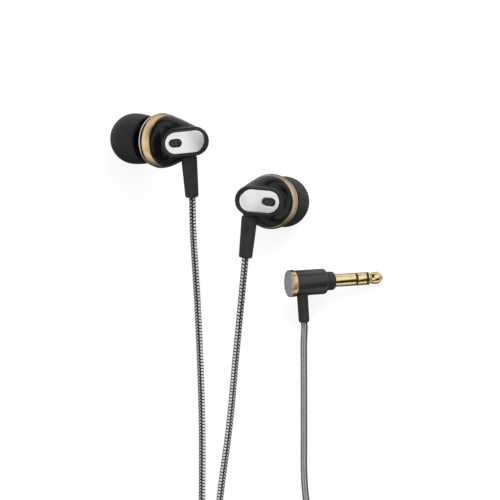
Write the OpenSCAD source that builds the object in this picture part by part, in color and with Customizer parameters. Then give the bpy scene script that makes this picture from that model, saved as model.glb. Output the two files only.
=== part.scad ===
// Wired in-ear earphones: two mirrored earpieces with pull-off silicone tips,
// braided cords, a Y-splitter and a right-angle 3.5 mm plug.
// The set lies on a flat surface at z = 0, +X to the wearer's right-hand earpiece.
// Each earpiece is drawn in its own frame: the gold ring's front edge lies at
// z = 0, the tip points along -z and the boot hangs along -y.

/* [Housing] */
// Diameter of the bore that the driver drops into
driver_bore_d = 12.0; // [11.6:0.1:13.4]
// Wall of the tube that carries the gold ring and the driver
tube_wall = 0.6; // [0.5:0.05:0.8]
// Height of the gold ring's front edge above the tube
ring_front_h = 1.0; // [0.8:0.05:1.4]
// Height of the gold ring's rear edge above the tube
ring_rear_h = 0.6; // [0.55:0.05:0.8]
// Width of the gold ring along the axis
ring_w = 2.6; // [1.8:0.1:2.8]
// Length of the tube behind the gold ring, inside the rear shell
spigot_len = 0.8; // [0.5:0.1:1.2]
// Distance from the trim ring's front face to the gold ring
flange_reach = 1.4; // [1.2:0.05:1.8]
// Height of the polished trim ring above the tube
trim_h = 0.65; // [0.5:0.05:0.8]
// Width of the polished trim ring
trim_w = 0.4; // [0.3:0.05:0.6]
// Height of the groove floor between trim ring and gold ring above the tube
groove_h = 0.35; // [0.2:0.05:0.45]
// Height of the rear shell above the tube where it meets the gold ring
shell_h = 0.55; // [0.5:0.05:0.6]
// Wall of the rear shell
shell_wall = 0.9; // [0.7:0.1:1.1]

/* [Face] */
// Length of the oblong face
face_len = 13.3; // [12.5:0.1:14.5]
// Width of the oblong face
face_w = 8.1; // [7.6:0.1:8.8]
// Distance of the face's centre behind the gold ring's front edge
face_back = 9.6; // [8.9:0.1:10.5]
// Tilt of the face away from square with the axis
face_tilt = 35.5; // [30:0.5:37]
// Height of the bezel that frames the face
bezel_h = 1.6; // [1.4:0.1:2]
// Width of the bezel around the metal plate
bezel_w = 0.85; // [0.7:0.05:1.3]
// Thickness of the metal plate
plate_t = 0.5; // [0.3:0.1:0.7]
// Depth of the plate's top below the bezel's top
plate_sink = 0.12; // [0.05:0.01:0.3]
// Clearance between the plate and the bezel
plate_clear = 0.1; // [0.05:0.01:0.2]
// Length of the vent slot in the plate
vent_len = 3.5; // [2.8:0.1:4]
// Width of the vent slot in the plate
vent_w = 2.2; // [1.6:0.1:2.6]
// Distance of the vent slot from the middle of the plate
vent_off = 2.75; // [2.2:0.05:3]
// Thickness of the woven mesh under the vent slot
vent_mesh_t = 0.2; // [0.1:0.05:0.3]

/* [Nozzle] */
// Outer diameter of the sound nozzle
nozzle_d = 5.0; // [4.4:0.1:5.2]
// Diameter of the sound bore
nozzle_bore_d = 3.4; // [2.8:0.1:3.6]
// Distance of the nozzle's front end from the gold ring's front edge
nozzle_reach = 12.6; // [12:0.1:13]
// Diameter of the boss at the foot of the nozzle
boss_d = 7.2; // [6.6:0.1:7.4]
// Distance of the boss's front face from the gold ring's front edge
boss_reach = 7.0; // [6.6:0.1:7.2]
// Diameter of the lip at the nozzle's end
nozzle_lip_d = 5.4; // [5.3:0.05:5.5]
// Thickness of the dust mesh in the nozzle
dust_mesh_t = 0.2; // [0.1:0.05:0.3]

/* [Ear tip] */
// Diameter of the silicone dome
tip_d = 14.0; // [13:0.1:14.6]
// Distance of the dome's widest circle from the gold ring's front edge
tip_reach = 10.0; // [9:0.1:10.6]
// Distance of the skirt's rim from the gold ring's front edge
rim_reach = 4.6; // [4:0.1:5]
// Wall of the silicone dome
tip_wall = 0.6; // [0.4:0.1:0.8]
// Outer diameter of the coloured core
core_d = 8.4; // [7.4:0.1:8.6]
// Radial clearance between the core and the nozzle's lip
core_clear = 0.05; // [0.03:0.01:0.1]
// Gap between the core's end and the nozzle's boss
core_gap = 0.3; // [0.2:0.05:0.5]
// Length of the core
core_len = 6.7; // [6:0.1:7]

/* [Driver] */
// Depth of the driver behind its seat
driver_depth = 3.0; // [2.8:0.1:3.1]
// Diameter of the driver's back can
can_d = 8.8; // [8.4:0.1:9]
// Diameter of the magnet
magnet_d = 6.0; // [5.6:0.1:6.1]
// Length of the magnet
magnet_len = 1.3; // [1:0.1:1.4]
// Wall of the voice coil
coil_wall = 0.25; // [0.2:0.05:0.3]
// Thickness of the diaphragm
diaphragm_t = 0.12; // [0.08:0.01:0.16]

/* [Boot] */
// Diameter of the boot where it leaves the housing
boot_top_d = 4.4; // [4:0.1:4.8]
// Diameter of the boot at its end
boot_end_d = 3.7; // [3.3:0.1:4]
// Distance of the boot's end from the middle of the face
boot_reach = 15.9; // [13:0.1:18]
// Distance of the boot's axis from the middle of the face, along the face
boot_shift = 1.3; // [1.2:0.1:2.6]
// Depth of the boot's axis below the top of the bezel
boot_depth = 3.9; // [3.8:0.1:4.3]
// Diameter of the boot's neck in the housing wall
boot_neck_d = 3.7; // [3.2:0.1:3.9]
// Diameter of the boot's flange inside the housing
boot_flange_d = 4.3; // [4.1:0.1:4.4]

/* [Cords] */
// Diameter of the two braided cords to the earpieces
branch_d = 1.8; // [1.6:0.1:2]
// Diameter of the braided cord to the plug
main_d = 1.8; // [1.6:0.1:2]
// Radial clearance of a cord in its boot
cord_clear = 0.08; // [0.05:0.01:0.15]

/* [Splitter] */
// Length of the Y-splitter
splitter_len = 16; // [12:1:20]
// Diameter of the Y-splitter
splitter_d = 5.4; // [5:0.1:7]

/* [Plug] */
// Diameter of the plug's contact pin
jack_d = 3.5; // [3.4:0.01:3.5]
// Length of the plug's contact pin
jack_len = 14; // [13.5:0.1:15]
// Diameter of the plug's barrel
barrel_d = 7.0; // [6.6:0.1:8]
// Length of the plug's barrel
barrel_len = 8.4; // [7.4:0.1:10]
// Diameter of the end cap and its gold ring
cap_d = 7.4; // [7:0.1:8.4]
// Thickness of the end cap's disc
cap_t = 0.5; // [0.4:0.1:0.8]
// Width of the gold ring behind the end cap
cap_ring_w = 1.9; // [1.2:0.1:2.2]
// Diameter of the step between barrel and contact pin
collar_d = 5.1; // [4.6:0.1:5.2]
// Length of the step between barrel and contact pin
collar_len = 2.5; // [2:0.1:4]
// Diameter of the plug's strain relief
relief_d = 3.0; // [2.8:0.1:3.4]
// Distance of the strain relief's end from the pin's axis
relief_reach = 10.8; // [9:0.1:13]

/* [Hidden] */
$fn = 64;
tiny = 0.02;

// How the set lies: each earpiece leans on its tip and its cord, and the plug on its
// strain relief and the end of its pin. Each piece is turned about its own y (yaw),
// rolled about z, and then leans about X.
left_lean = 37;
right_lean = 30;
plug_lean = 28;
left_yaw = 45;
left_roll = 4.2;
left_at = [-13.5, 13];
right_yaw = -20;
right_roll = -5.8;
right_at = [16.9, -7.3];
plug_yaw = 108;
plug_roll = 3.8;
plug_at = [21.4, -29.02];
plug_exit_h = 2.2;       // height at which the plug's cord leaves its strain relief

function turn_x(a, v) = [v.x, v.y * cos(a) - v.z * sin(a), v.y * sin(a) + v.z * cos(a)];
function turn_y(a, v) = [v.x * cos(a) + v.z * sin(a), v.y, v.z * cos(a) - v.x * sin(a)];
function turn_z(a, v) = [v.x * cos(a) - v.y * sin(a), v.x * sin(a) + v.y * cos(a), v.z];
function pose(lean, yaw, roll, v) = turn_x(lean, turn_z(roll, turn_y(yaw, v)));

// Height of an earpiece whose tip just touches the surface
function tip_rest(lean, yaw, roll) = tip_d / 2 - pose(lean, yaw, roll, [0, 0, -tip_reach]).z;
left_z = tip_rest(left_lean, left_yaw, left_roll);
right_z = tip_rest(right_lean, right_yaw, right_roll);
relief_dir = pose(plug_lean, plug_yaw, plug_roll, [0, -1, 0]);
relief_at = cap_t + cap_ring_w + relief_d / 2;
pin_dir = pose(plug_lean, plug_yaw, plug_roll, [0, 0, 1]);
plug_z = plug_exit_h - relief_reach * relief_dir.z - relief_at * pin_dir.z;

// Derived sizes of the housing
seat_z = 0.3;                                   // the driver's seat
seat_r = driver_bore_d / 2 - 0.7;
tube_r = driver_bore_d / 2 + tube_wall;
shell_r = tube_r + shell_h;
trim_r = tube_r + trim_h;
shell_seat = ring_w;
tip_r = tip_d / 2;
dome_back = 13.8;                               // long half-axis of the skirt's curve
core_back = boss_reach + core_gap;
core_front = core_back + core_len;
core_bore_r = nozzle_lip_d / 2 + core_clear;
stad_len = face_len - 0.5;                      // rear shell's oblong end, just inside the bezel
stad_w = face_w - 0.5;
plate_len = face_len - 2 * bezel_w;
plate_w = face_w - 2 * bezel_w;
pocket_depth = plate_t + plate_sink;
anchor_knot_r = 1.4;
anchor_y = -0.2;
flange_y = anchor_y - anchor_knot_r;            // the knot sits on the boot's flange
boot_y = -face_w / 2 - 0.5;                     // where the boot widens, just outside the housing
barrel_z = cap_t + cap_ring_w;
jack_z = barrel_z + barrel_len + collar_len;

module place_left() {
    translate([left_at.x, left_at.y, left_z]) rotate([left_lean, 0, 0]) rotate([0, 0, left_roll])
        rotate([0, left_yaw, 0]) children();
}
module place_right() {
    translate([right_at.x, right_at.y, right_z]) rotate([right_lean, 0, 0]) rotate([0, 0, right_roll])
        rotate([0, right_yaw, 0]) mirror([1, 0, 0]) children();
}
// The face's own frame: origin in the middle of the bezel's top, +X towards the boot's side
module on_face() {
    translate([0, 0, face_back]) rotate([0, -face_tilt, 0]) children();
}
// The boot's own frame: +Z runs down the boot from the middle of the face
module on_boot() {
    on_face() translate([boot_shift, 0, -boot_depth]) rotate([90, 0, 0]) children();
}
module stadium(len, wid, h) {
    linear_extrude(h) {
        square([len - wid, wid], center = true);
        for (s = [-1, 1]) translate([s * (len - wid) / 2, 0]) circle(d = wid);
    }
}
module tube(r_out, r_in, z0, z1) {
    difference() {
        translate([0, 0, z0]) cylinder(r = r_out, h = z1 - z0);
        translate([0, 0, z0 - 1]) cylinder(r = r_in, h = z1 - z0 + 2);
    }
}

// ---- Ear tip ----
module ear_tip_dome() {
    steps = 14;
    open_r = nozzle_bore_d / 2 + 0.7;
    lip_a = asin(open_r / tip_r);
    out_front = [for (i = [0:steps]) let (a = lip_a + (90 - lip_a) * i / steps)
        [tip_r * sin(a), -tip_reach - tip_r * cos(a)]];
    out_back = [for (i = [1:6]) let (z = (tip_reach - rim_reach) * i / 6)
        [tip_r * sqrt(1 - pow(z / dome_back, 2)), -tip_reach + z]];
    rim_r = out_back[5][0];
    in_r = tip_r - tip_wall;
    in_back = [for (i = [6:-1:1]) let (z = (tip_reach - rim_reach) * i / 6)
        [in_r * sqrt(1 - pow(z / dome_back, 2)), -tip_reach + z]];
    core_a = asin(core_d / 2 / in_r);
    in_front = [for (i = [steps:-1:0]) let (a = core_a + (90 - core_a) * i / steps)
        [in_r * sin(a), -tip_reach - in_r * cos(a)]];
    neck = [[core_d / 2, -core_front], [open_r, -core_front]];
    color("dimgray") rotate_extrude() polygon(concat(out_front, out_back, in_back, in_front, neck));
}
module ear_tip_core() {
    color("darkred") tube(core_d / 2, core_bore_r, -core_front, -core_back);
}

// ---- Housing ----
module front_shell() {
    bore = nozzle_bore_d / 2;
    noz = nozzle_d / 2;
    lip = nozzle_lip_d / 2;
    back = shell_seat + spigot_len;
    color([0.06, 0.06, 0.07]) rotate_extrude() polygon([
        [bore, -nozzle_reach], [noz, -nozzle_reach], [lip, -nozzle_reach + 0.2],
        [lip, -nozzle_reach + 0.7], [noz, -nozzle_reach + 1], [noz, -boss_reach],
        [boss_d / 2, -boss_reach], [boss_d / 2, -flange_reach - 1],
        [tube_r - 0.3, -flange_reach - 0.2], [tube_r, -flange_reach],
        [tube_r, -flange_reach + trim_w], [tube_r + groove_h, -flange_reach + trim_w],
        [tube_r + groove_h, 0], [tube_r, 0], [tube_r, back], [driver_bore_d / 2, back],
        [driver_bore_d / 2, seat_z], [seat_r, seat_z], [seat_r, -0.3], [bore, -3]]);
}
module nozzle_mesh() {
    color("silver") translate([0, 0, -nozzle_reach + 0.2])
        cylinder(r = nozzle_bore_d / 2 - tiny, h = dust_mesh_t);
}
module trim_ring() {
    edge = 0.15;
    front = -flange_reach;
    color("gainsboro") rotate_extrude() polygon([[tube_r, front], [trim_r - edge, front],
        [trim_r, front + edge], [trim_r, front + trim_w], [tube_r, front + trim_w]]);
}
module gold_ring() {
    edge = 0.15;
    color([0.80, 0.66, 0.42]) rotate_extrude() polygon([[tube_r + 0.05, 0],
        [tube_r + ring_front_h - edge, 0], [tube_r + ring_front_h, edge],
        [tube_r + ring_rear_h + 0.05, ring_w - edge], [tube_r + ring_rear_h - edge, ring_w],
        [tube_r + 0.05, ring_w]]);
}
// A thin disc of the shell's loft, tilted part of the way towards the face
module loft_disc(r, z, tilt) {
    translate([0, 0, z]) rotate([0, -tilt, 0]) cylinder(r = r, h = 0.05, $fn = 40);
}
module shell_form(inset) {
    hull() {
        loft_disc(shell_r - inset, shell_seat, 0);
        loft_disc(shell_r - 0.4 - inset, shell_seat + 1.5, 9);
        loft_disc(shell_r - 1.35 - inset, shell_seat + 3.4, 22);
        on_face() translate([0, 0, -bezel_h - 0.05])
            stadium(stad_len - 2 * inset, stad_w - 2 * inset, 0.05, $fn = 40);
    }
}
module rear_shell() {
    color([0.05, 0.05, 0.06]) difference() {
        shell_form(0);
        difference() {
            translate([0, 0, 0.05]) shell_form(shell_wall);
            translate([0, 0, shell_seat - 1]) cylinder(r = 2 * shell_r, h = 1 + spigot_len + 0.1);
        }
        translate([0, 0, shell_seat - 1]) cylinder(r = tube_r + tiny, h = 1 + spigot_len + 0.1);
        on_face() translate([-2 * shell_r, -2 * shell_r, -bezel_h]) cube(4 * shell_r);
        on_face() translate([0, 0, -bezel_h - 0.5])
            stadium(stad_len - 2 * shell_wall - 0.6, stad_w - 2 * shell_wall - 0.2, 2);
        on_boot() {
            translate([0, 0, -flange_y - 0.05]) cylinder(d = boot_flange_d + 0.1, h = 0.7);
            translate([0, 0, -flange_y]) cylinder(d = boot_neck_d + 0.1, h = 6);
            translate([0, 0, -boot_y - 0.05]) cylinder(d = boot_top_d + 0.1, h = 5);
        }
    }
}
module face_bezel() {
    edge = 0.35;
    color([0.13, 0.13, 0.14]) on_face() difference() {
        union() {
            translate([0, 0, -bezel_h]) stadium(face_len, face_w, bezel_h - edge);
            translate([0, 0, -edge]) stadium(face_len - edge, face_w - edge, edge / 2);
            translate([0, 0, -edge / 2]) stadium(face_len - 2 * edge, face_w - 2 * edge, edge / 2);
        }
        translate([0, 0, -pocket_depth]) stadium(plate_len, plate_w, bezel_h);
        translate([-vent_off, 0, -bezel_h - 1]) stadium(vent_len - 0.6, vent_w - 0.6, 3);
        translate([-vent_off, 0, -pocket_depth - vent_mesh_t])
            stadium(vent_len + 0.6, vent_w + 0.6, 1);
    }
}
module face_plate() {
    color([0.82, 0.82, 0.83]) on_face() difference() {
        translate([0, 0, -pocket_depth])
            stadium(plate_len - 2 * plate_clear, plate_w - 2 * plate_clear, plate_t);
        translate([-vent_off, 0, -pocket_depth - 1]) stadium(vent_len, vent_w, 3);
    }
}
module vent_mesh() {
    color([0.3, 0.3, 0.3]) on_face() translate([-vent_off, 0, -pocket_depth - vent_mesh_t])
        stadium(vent_len + 0.4, vent_w + 0.4, vent_mesh_t);
}

// ---- Driver ----
frame_back = seat_z + driver_depth;
ledge_z = seat_z + 0.6;                         // the diaphragm is held under this ledge
module driver_frame() {
    r = driver_bore_d / 2 - 0.05;
    rim = 1.0;
    wall = 0.3;
    color("dimgray") difference() {
        rotate_extrude() polygon([[seat_r, seat_z], [r, seat_z], [r, seat_z + rim],
            [can_d / 2, seat_z + rim], [can_d / 2, frame_back], [0.6, frame_back],
            [0.6, frame_back - wall], [can_d / 2 - wall, frame_back - wall],
            [can_d / 2 - wall, ledge_z], [seat_r, ledge_z]]);
    }
}
module driver_magnet() {
    top = frame_back - 0.3;
    color("silver") tube(magnet_d / 2, 0.6, top - magnet_len, top);
}
module voice_coil() {
    r = magnet_d / 2 + 0.2;
    color("peru") tube(r + coil_wall, r, ledge_z, ledge_z + 1.2);
}
module diaphragm() {
    z0 = ledge_z - diaphragm_t;
    coil_r = magnet_d / 2 + 0.2 + coil_wall;
    roll_r = (seat_r - coil_r) / 2;
    dome = [for (i = [0:8]) let (r = coil_r * i / 8) [r, z0 - 0.5 * (1 - pow(r / coil_r, 2))]];
    surround = [for (i = [1:8]) let (a = 180 * i / 8)
        [coil_r + roll_r - roll_r * cos(a), z0 - 0.5 * roll_r * sin(a)]];
    seat = [[seat_r - tiny, z0]];
    under = concat(dome, surround, seat);
    over = [for (i = [len(under) - 1:-1:0]) under[i] + [0, diaphragm_t]];
    color("whitesmoke") rotate_extrude() polygon(concat(under, over));
}
module terminal_board() {
    color("darkgreen") translate([0, 0, frame_back]) difference() {
        intersection() {
            cylinder(r = can_d / 2 - 0.8, h = 0.4);
            translate([0.9, -3, -1]) cube([4, 6, 3]);
        }
        for (s = [-1, 1]) translate([2, s * 1.4, -1]) cylinder(r = 0.35, h = 3);
    }
}

// ---- Boot and the cord's end inside it ----
bore_r = branch_d / 2 + cord_clear;
module strain_relief() {
    chamfer = 0.3;
    color([0.22, 0.22, 0.23]) on_boot() difference() {
        union() {
            translate([0, 0, -flange_y]) cylinder(d = boot_flange_d, h = 0.6);
            translate([0, 0, -flange_y]) cylinder(d = boot_neck_d, h = -boot_y + flange_y);
            translate([0, 0, -boot_y])
                cylinder(d1 = boot_top_d, d2 = boot_end_d, h = boot_reach - chamfer + boot_y);
            translate([0, 0, boot_reach - chamfer])
                cylinder(d1 = boot_end_d, d2 = boot_end_d - 2 * chamfer, h = chamfer);
        }
        translate([0, 0, -2]) cylinder(r = bore_r, h = boot_reach + 4);
    }
}
module cord_anchor() {
    color("gray") on_boot() union() {
        translate([0, 0, -anchor_y]) sphere(r = anchor_knot_r - tiny);
        translate([0, 0, -anchor_y]) cylinder(d = branch_d, h = boot_reach + anchor_y);
    }
}

// ---- Plug, drawn along +z from the end cap, its strain relief along -y ----
barrel_wall = 0.7;
core_back_z = barrel_z + 5.2;
module place_plug() {
    translate([plug_at.x, plug_at.y, plug_z]) rotate([plug_lean, 0, 0]) rotate([0, 0, plug_roll])
        rotate([0, plug_yaw, 0]) children();
}
module plug_end_cap() {
    edge = 0.12;
    color([0.62, 0.61, 0.59]) union() {
        cylinder(d1 = cap_d - 2 * edge, d2 = cap_d, h = edge);
        translate([0, 0, edge]) cylinder(d = cap_d, h = cap_t - edge);
        translate([0, 0, cap_t]) cylinder(d = barrel_d - 2 * barrel_wall - 0.1, h = cap_ring_w + 0.2);
    }
}
module plug_cap_ring() {
    color([0.80, 0.66, 0.42]) tube(cap_d / 2, barrel_d / 2 - barrel_wall, cap_t, cap_t + cap_ring_w);
}
module plug_barrel() {
    edge = 0.5;
    color([0.24, 0.24, 0.25]) difference() {
        union() {
            translate([0, 0, barrel_z]) cylinder(d = barrel_d, h = barrel_len - edge);
            translate([0, 0, barrel_z + barrel_len - edge])
                cylinder(d1 = barrel_d, d2 = barrel_d - 2 * edge, h = edge);
        }
        translate([0, 0, barrel_z - 1]) cylinder(d = barrel_d - 2 * barrel_wall, h = core_back_z - barrel_z + 1);
        cylinder(d = collar_d + 2 * tiny, h = jack_z);
        translate([0, 0, relief_at]) rotate([90, 0, 0]) cylinder(d = relief_d - 0.6, h = barrel_d);
    }
}
module plug_core() {
    edge = 0.5;
    color([0.22, 0.22, 0.23]) difference() {
        union() {
            translate([0, 0, core_back_z]) cylinder(d = collar_d, h = jack_z - core_back_z - edge);
            translate([0, 0, jack_z - edge])
                cylinder(d1 = collar_d, d2 = collar_d - 2 * edge, h = edge);
        }
        translate([0, 0, core_back_z - 1]) cylinder(d = jack_d * 0.7, h = jack_z);
    }
}
module plug_strain_relief() {
    edge = 0.4;
    color([0.24, 0.24, 0.25]) translate([0, 0, relief_at]) rotate([90, 0, 0]) difference() {
        union() {
            translate([0, 0, 1.9]) cylinder(d = relief_d - 0.7, h = barrel_d / 2 - 1.9);
            difference() {
                translate([0, 0, barrel_d / 2 - 0.6])
                    cylinder(d = relief_d, h = relief_reach - edge - barrel_d / 2 + 0.6);
                rotate([90, 0, 0]) translate([0, 0, -barrel_d])
                    cylinder(r = barrel_d / 2 + tiny, h = 2 * barrel_d);
            }
            translate([0, 0, relief_reach - edge])
                cylinder(d1 = relief_d, d2 = relief_d - edge, h = edge);
        }
        cylinder(r = main_d / 2 + cord_clear, h = relief_reach + 1);
    }
}
module plug_cord_anchor() {
    color("gray") translate([0, 0, relief_at]) rotate([90, 0, 0])
        translate([0, 0, 1.2]) cylinder(d = main_d, h = relief_reach - 1.2);
}
// Contact lengths along the pin, from the collar
sleeve_len = 5.9;
gap_w = 0.6;
ring_len = 2.5;
ring_z = sleeve_len + gap_w;
tip_z = ring_z + ring_len + gap_w;
pin_hole_r = 1.15;
rod_r = 0.6;
module jack_sleeve() {
    back = jack_z - core_back_z - 0.6;
    color([0.87, 0.73, 0.38]) translate([0, 0, jack_z]) difference() {
        union() {
            translate([0, 0, -back]) cylinder(r = jack_d * 0.35 - tiny, h = back);
            cylinder(d = jack_d, h = sleeve_len);
        }
        translate([0, 0, -back - 1]) cylinder(r = 0.95, h = back + 1.5);
        cylinder(r = pin_hole_r, h = sleeve_len + 1);
    }
}
module jack_ring() {
    color([0.87, 0.73, 0.38]) translate([0, 0, jack_z])
        tube(jack_d / 2, pin_hole_r, ring_z, ring_z + ring_len);
}
module jack_tip() {
    r = jack_d / 2;
    color([0.87, 0.73, 0.38]) translate([0, 0, jack_z]) rotate_extrude() polygon([[0, -1],
        [rod_r, -1], [rod_r, tip_z], [r, tip_z], [r, tip_z + 0.35], [r - 0.42, tip_z + 0.7],
        [r - 0.42, tip_z + 0.95], [r - 0.15, tip_z + 1.5], [r - 0.08, tip_z + 3],
        [r - 0.3, tip_z + 3.4], [0.6, jack_len - 0.25], [0.35, jack_len], [0, jack_len]]);
}
module jack_insulators() {
    color([0.05, 0.05, 0.05]) translate([0, 0, jack_z]) difference() {
        union() {
            translate([0, 0, 0.6]) cylinder(r = pin_hole_r - tiny, h = tip_z - 0.6);
            translate([0, 0, sleeve_len]) cylinder(d = jack_d, h = gap_w);
            translate([0, 0, ring_z + ring_len]) cylinder(d = jack_d, h = gap_w);
        }
        cylinder(r = rod_r + tiny, h = jack_len);
    }
}

// ---- Cords ----
function unit(v) = v / norm(v);
function heading(p, i) = unit(p[min(i + 1, len(p) - 1)] - p[max(i - 1, 0)]);
function ring_at(c, t, r, sides) = let (a = unit(cross(t, [0, 0, 1])), b = cross(a, t))
    [for (k = [0:sides - 1]) let (q = 360 * (k + 0.5) / sides) c + r * (cos(q) * a + sin(q) * b)];
function cr(a, b, c, d, t) = 0.5 * (2 * b + (c - a) * t + (2 * a - 5 * b + 4 * c - d) * t * t
    + (3 * b - a - 3 * c + d) * t * t * t);
// A smooth curve through the route's points, with n steps between each pair
function curve(p, n) = concat([for (i = [0:len(p) - 2]) for (k = [0:n - 1])
    cr(p[max(i - 1, 0)], p[i], p[i + 1], p[min(i + 2, len(p) - 1)], k / n)], [p[len(p) - 1]]);
function run_length(p) = len(p) < 2 ? 0 : let (s = [for (i = [1:len(p) - 1]) norm(p[i] - p[i - 1])])
    s * [for (i = s) 1];
module swept(p, d, sides) {
    n = len(p);
    rings = [for (i = [0:n - 1]) each ring_at(p[i], heading(p, i), d / 2, sides)];
    skin = [for (i = [0:n - 2]) for (k = [0:sides - 1]) let (j = (k + 1) % sides,
        a = i * sides + k, b = i * sides + j, c = a + sides, e = b + sides) each [[a, c, b], [b, c, e]]];
    caps = [for (k = [1:sides - 2]) each [[0, k, k + 1],
        [(n - 1) * sides, (n - 1) * sides + k + 1, (n - 1) * sides + k]]];
    polyhedron(rings, concat(skin, caps));
}

// Where each boot and the plug's strain relief let go of their cords
boot_tip = turn_y(-face_tilt, [boot_shift, -boot_reach, -boot_depth]) + [0, 0, face_back];
left_exit = [left_at.x, left_at.y, left_z] + pose(left_lean, left_yaw, left_roll, boot_tip);
left_dir = pose(left_lean, left_yaw, left_roll, [0, -1, 0]);
right_exit = [right_at.x, right_at.y, right_z]
    + pose(right_lean, right_yaw, right_roll, [-boot_tip.x, boot_tip.y, boot_tip.z]);
right_dir = pose(right_lean, right_yaw, right_roll, [0, -1, 0]);
plug_exit = [plug_at.x, plug_at.y, plug_z]
    + pose(plug_lean, plug_yaw, plug_roll, [0, -relief_reach, relief_at]);

// Coils: each cord's spare length is wound in and out again in layers, held by a tie
wind_gap = 0.45;                    // gap between turns, and between layers
tie_t = 0.4;
tie_w = 4;
tie_gap = 0.35;
coil_z = tie_t + branch_d / 2;      // the coils lie on their ties
coil_mid_r = 10;                    // middle of the turns
// side = 1: the cord comes in at the right of the coil and turns clockwise; -1: mirrored
function coil_point(c, side, layers, turns, d, s) = let (
        pitch = d + wind_gap,
        k = floor(s / turns),
        f = s - k * turns,
        in = (k % 2 == 0) ? f : turns - f,
        r = coil_mid_r + pitch * (turns / 2 - in),
        near = round(s / turns),
        u = (near < 1 || near > layers - 1) ? 0.5 * (sign(s - near * turns) + 1)
            : min(1, max(0, (s - near * turns) * 2 + 0.5)),
        z = pitch * ((near < 1) ? 0 : (near > layers - 1) ? layers - 1
            : near - 1 + u * u * (3 - 2 * u)))
    [c.x + side * r * cos(360 * s), c.y - r * sin(360 * s), c.z + z];
function coil_path(c, side, layers, turns, d) = let (n = 24 * layers * turns,
        p = [for (i = [0:n]) coil_point(c, side, layers, turns, d, i / 24)])
    concat([p[0] + [0, d, 0]], p, [p[n] - [0, d, 0]]);
function self_gap(p, d) = min([for (i = [0:len(p) - 1]) for (j = [i + 16:1:len(p) - 1])
    norm(p[i] - p[j])]) - d;
module tie(c, layers, turns, d, angle) {
    half = turns / 2 * (d + wind_gap) + d / 2 + tie_gap;
    high = (layers - 1) * (d + wind_gap) + d + tie_gap;
    color([0.1, 0.1, 0.1]) translate([c.x, c.y, 0]) rotate([0, 0, angle])
        translate([coil_mid_r, 0, 0]) difference() {
            translate([-half - tie_t, -tie_w / 2, 0]) cube([2 * (half + tie_t), tie_w, high + 2 * tie_t]);
            translate([-half, -tie_w, tie_t]) cube([2 * half, 2 * tie_w, high]);
        }
}

branch_turns = 1.5;
branch_layers = 2;
main_turns = 3;
main_layers = 4;
function coil_out(turns, d) = coil_mid_r + (d + wind_gap) * turns / 2;
// Places where the coils take their cords
left_in = [-2.2, -109, coil_z];
right_in = [1.8, -109, coil_z];
main_in = [28.5, -113.5, coil_z];
left_c = left_in - [coil_out(branch_turns, branch_d), 0, 0];
right_c = right_in + [coil_out(branch_turns, branch_d), 0, 0];
main_c = main_in + [coil_out(main_turns, main_d), 0, 0];
left_winding = coil_path(left_c, 1, branch_layers, branch_turns, branch_d);
right_winding = coil_path(right_c, -1, branch_layers, branch_turns, branch_d);
main_winding = coil_path(main_c, -1, main_layers, main_turns, main_d);

// The splitter lies along y with its axis at this height
splitter_at = [-0.2, -120, splitter_d / 2];
hole_off = 1.1;
hole_deep = 3;
function last(p) = p[len(p) - 1];

// Routes of the free stretches, each straight for a diameter at both ends
left_route = concat([left_exit, left_exit + branch_d * left_dir],
    [[-4.75, -5.6, 2.9], [-4.6, -9.5, 1.45], [-4.38, -14, 0.95], [-4, -20.5, 0.9],
     [-3.3, -33, 0.9], [-2.65, -48, 0.9], [-2.1, -66, 0.9], [-2, -84, 0.9], [-2.1, -98, 1.1]],
    [left_winding[0] + [0, branch_d, 0], left_winding[0]]);
right_route = concat([right_exit, right_exit + branch_d * right_dir],
    [[9.2, -28, 9.2], [8.7, -32.3, 6.3], [8.2, -36.8, 3.7], [7.7, -41.8, 1.9],
     [7.2, -47.3, 1.05], [6.65, -54, 0.9], [5.95, -63, 0.9], [4.95, -73, 0.9], [3.5, -85, 0.9],
     [2.15, -98, 1]],
    [right_winding[0] + [0, branch_d, 0], right_winding[0]]);
main_route = concat([plug_exit, plug_exit + main_d * relief_dir],
    [[25.72, -43.4, 0.95], [25.72, -49, 0.9], [25.72, -60, 0.9], [25.7, -72, 0.9],
     [25.7, -83, 0.9], [26.3, -92, 0.9], [27.8, -101, 1.1]],
    [main_winding[0] + [0, main_d, 0], main_winding[0]]);
function tail_route(from, x) = [from, from - [0, branch_d, 0],
    [x, splitter_at.y + branch_d, splitter_at.z], [x, splitter_at.y - hole_deep, splitter_at.z]];
left_tail_route = tail_route(last(left_winding), splitter_at.x - hole_off);
right_tail_route = tail_route(last(right_winding), splitter_at.x + hole_off);
splitter_end = splitter_at - [0, splitter_len, 0];
main_tail_route = concat([splitter_end + [0, hole_deep, 0], splitter_end - [0, 1, 0]],
    [[0.6, -143, 1.4], [4, -148.5, 0.9], [10, -151.5, 0.9], [17, -151, 0.9], [23, -147, 0.9],
     [26.8, -140, 1.1], [28.2, -132, 2.8], [28.5, -125, 5.6], [28.5, -119.5, 7.6]],
    [last(main_winding) - [0, main_d, 0], last(main_winding)]);

// Both ends of a free stretch stay straight, square to what holds them
function free_run(p) = concat([p[0]], curve([for (i = [1:len(p) - 2]) p[i]], 2), [p[len(p) - 1]]);
left_run = free_run(left_route);
right_run = free_run(right_route);
main_run = free_run(main_route);
left_tail_run = curve(left_tail_route, 1);
right_tail_run = curve(right_tail_route, 1);
main_tail_run = curve(main_tail_route, 1);
echo(least_coil_gap = [self_gap(left_winding, branch_d), self_gap(right_winding, branch_d),
    self_gap(main_winding, main_d)]);
echo(left_length = run_length(left_run) + run_length(left_winding) + run_length(left_tail_run),
    right_length = run_length(right_run) + run_length(right_winding) + run_length(right_tail_run),
    main_length = run_length(main_run) + run_length(main_winding) + run_length(main_tail_run));
echo(rings = len(concat(left_run, right_run, main_run, left_tail_run, right_tail_run, main_tail_run)));

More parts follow.
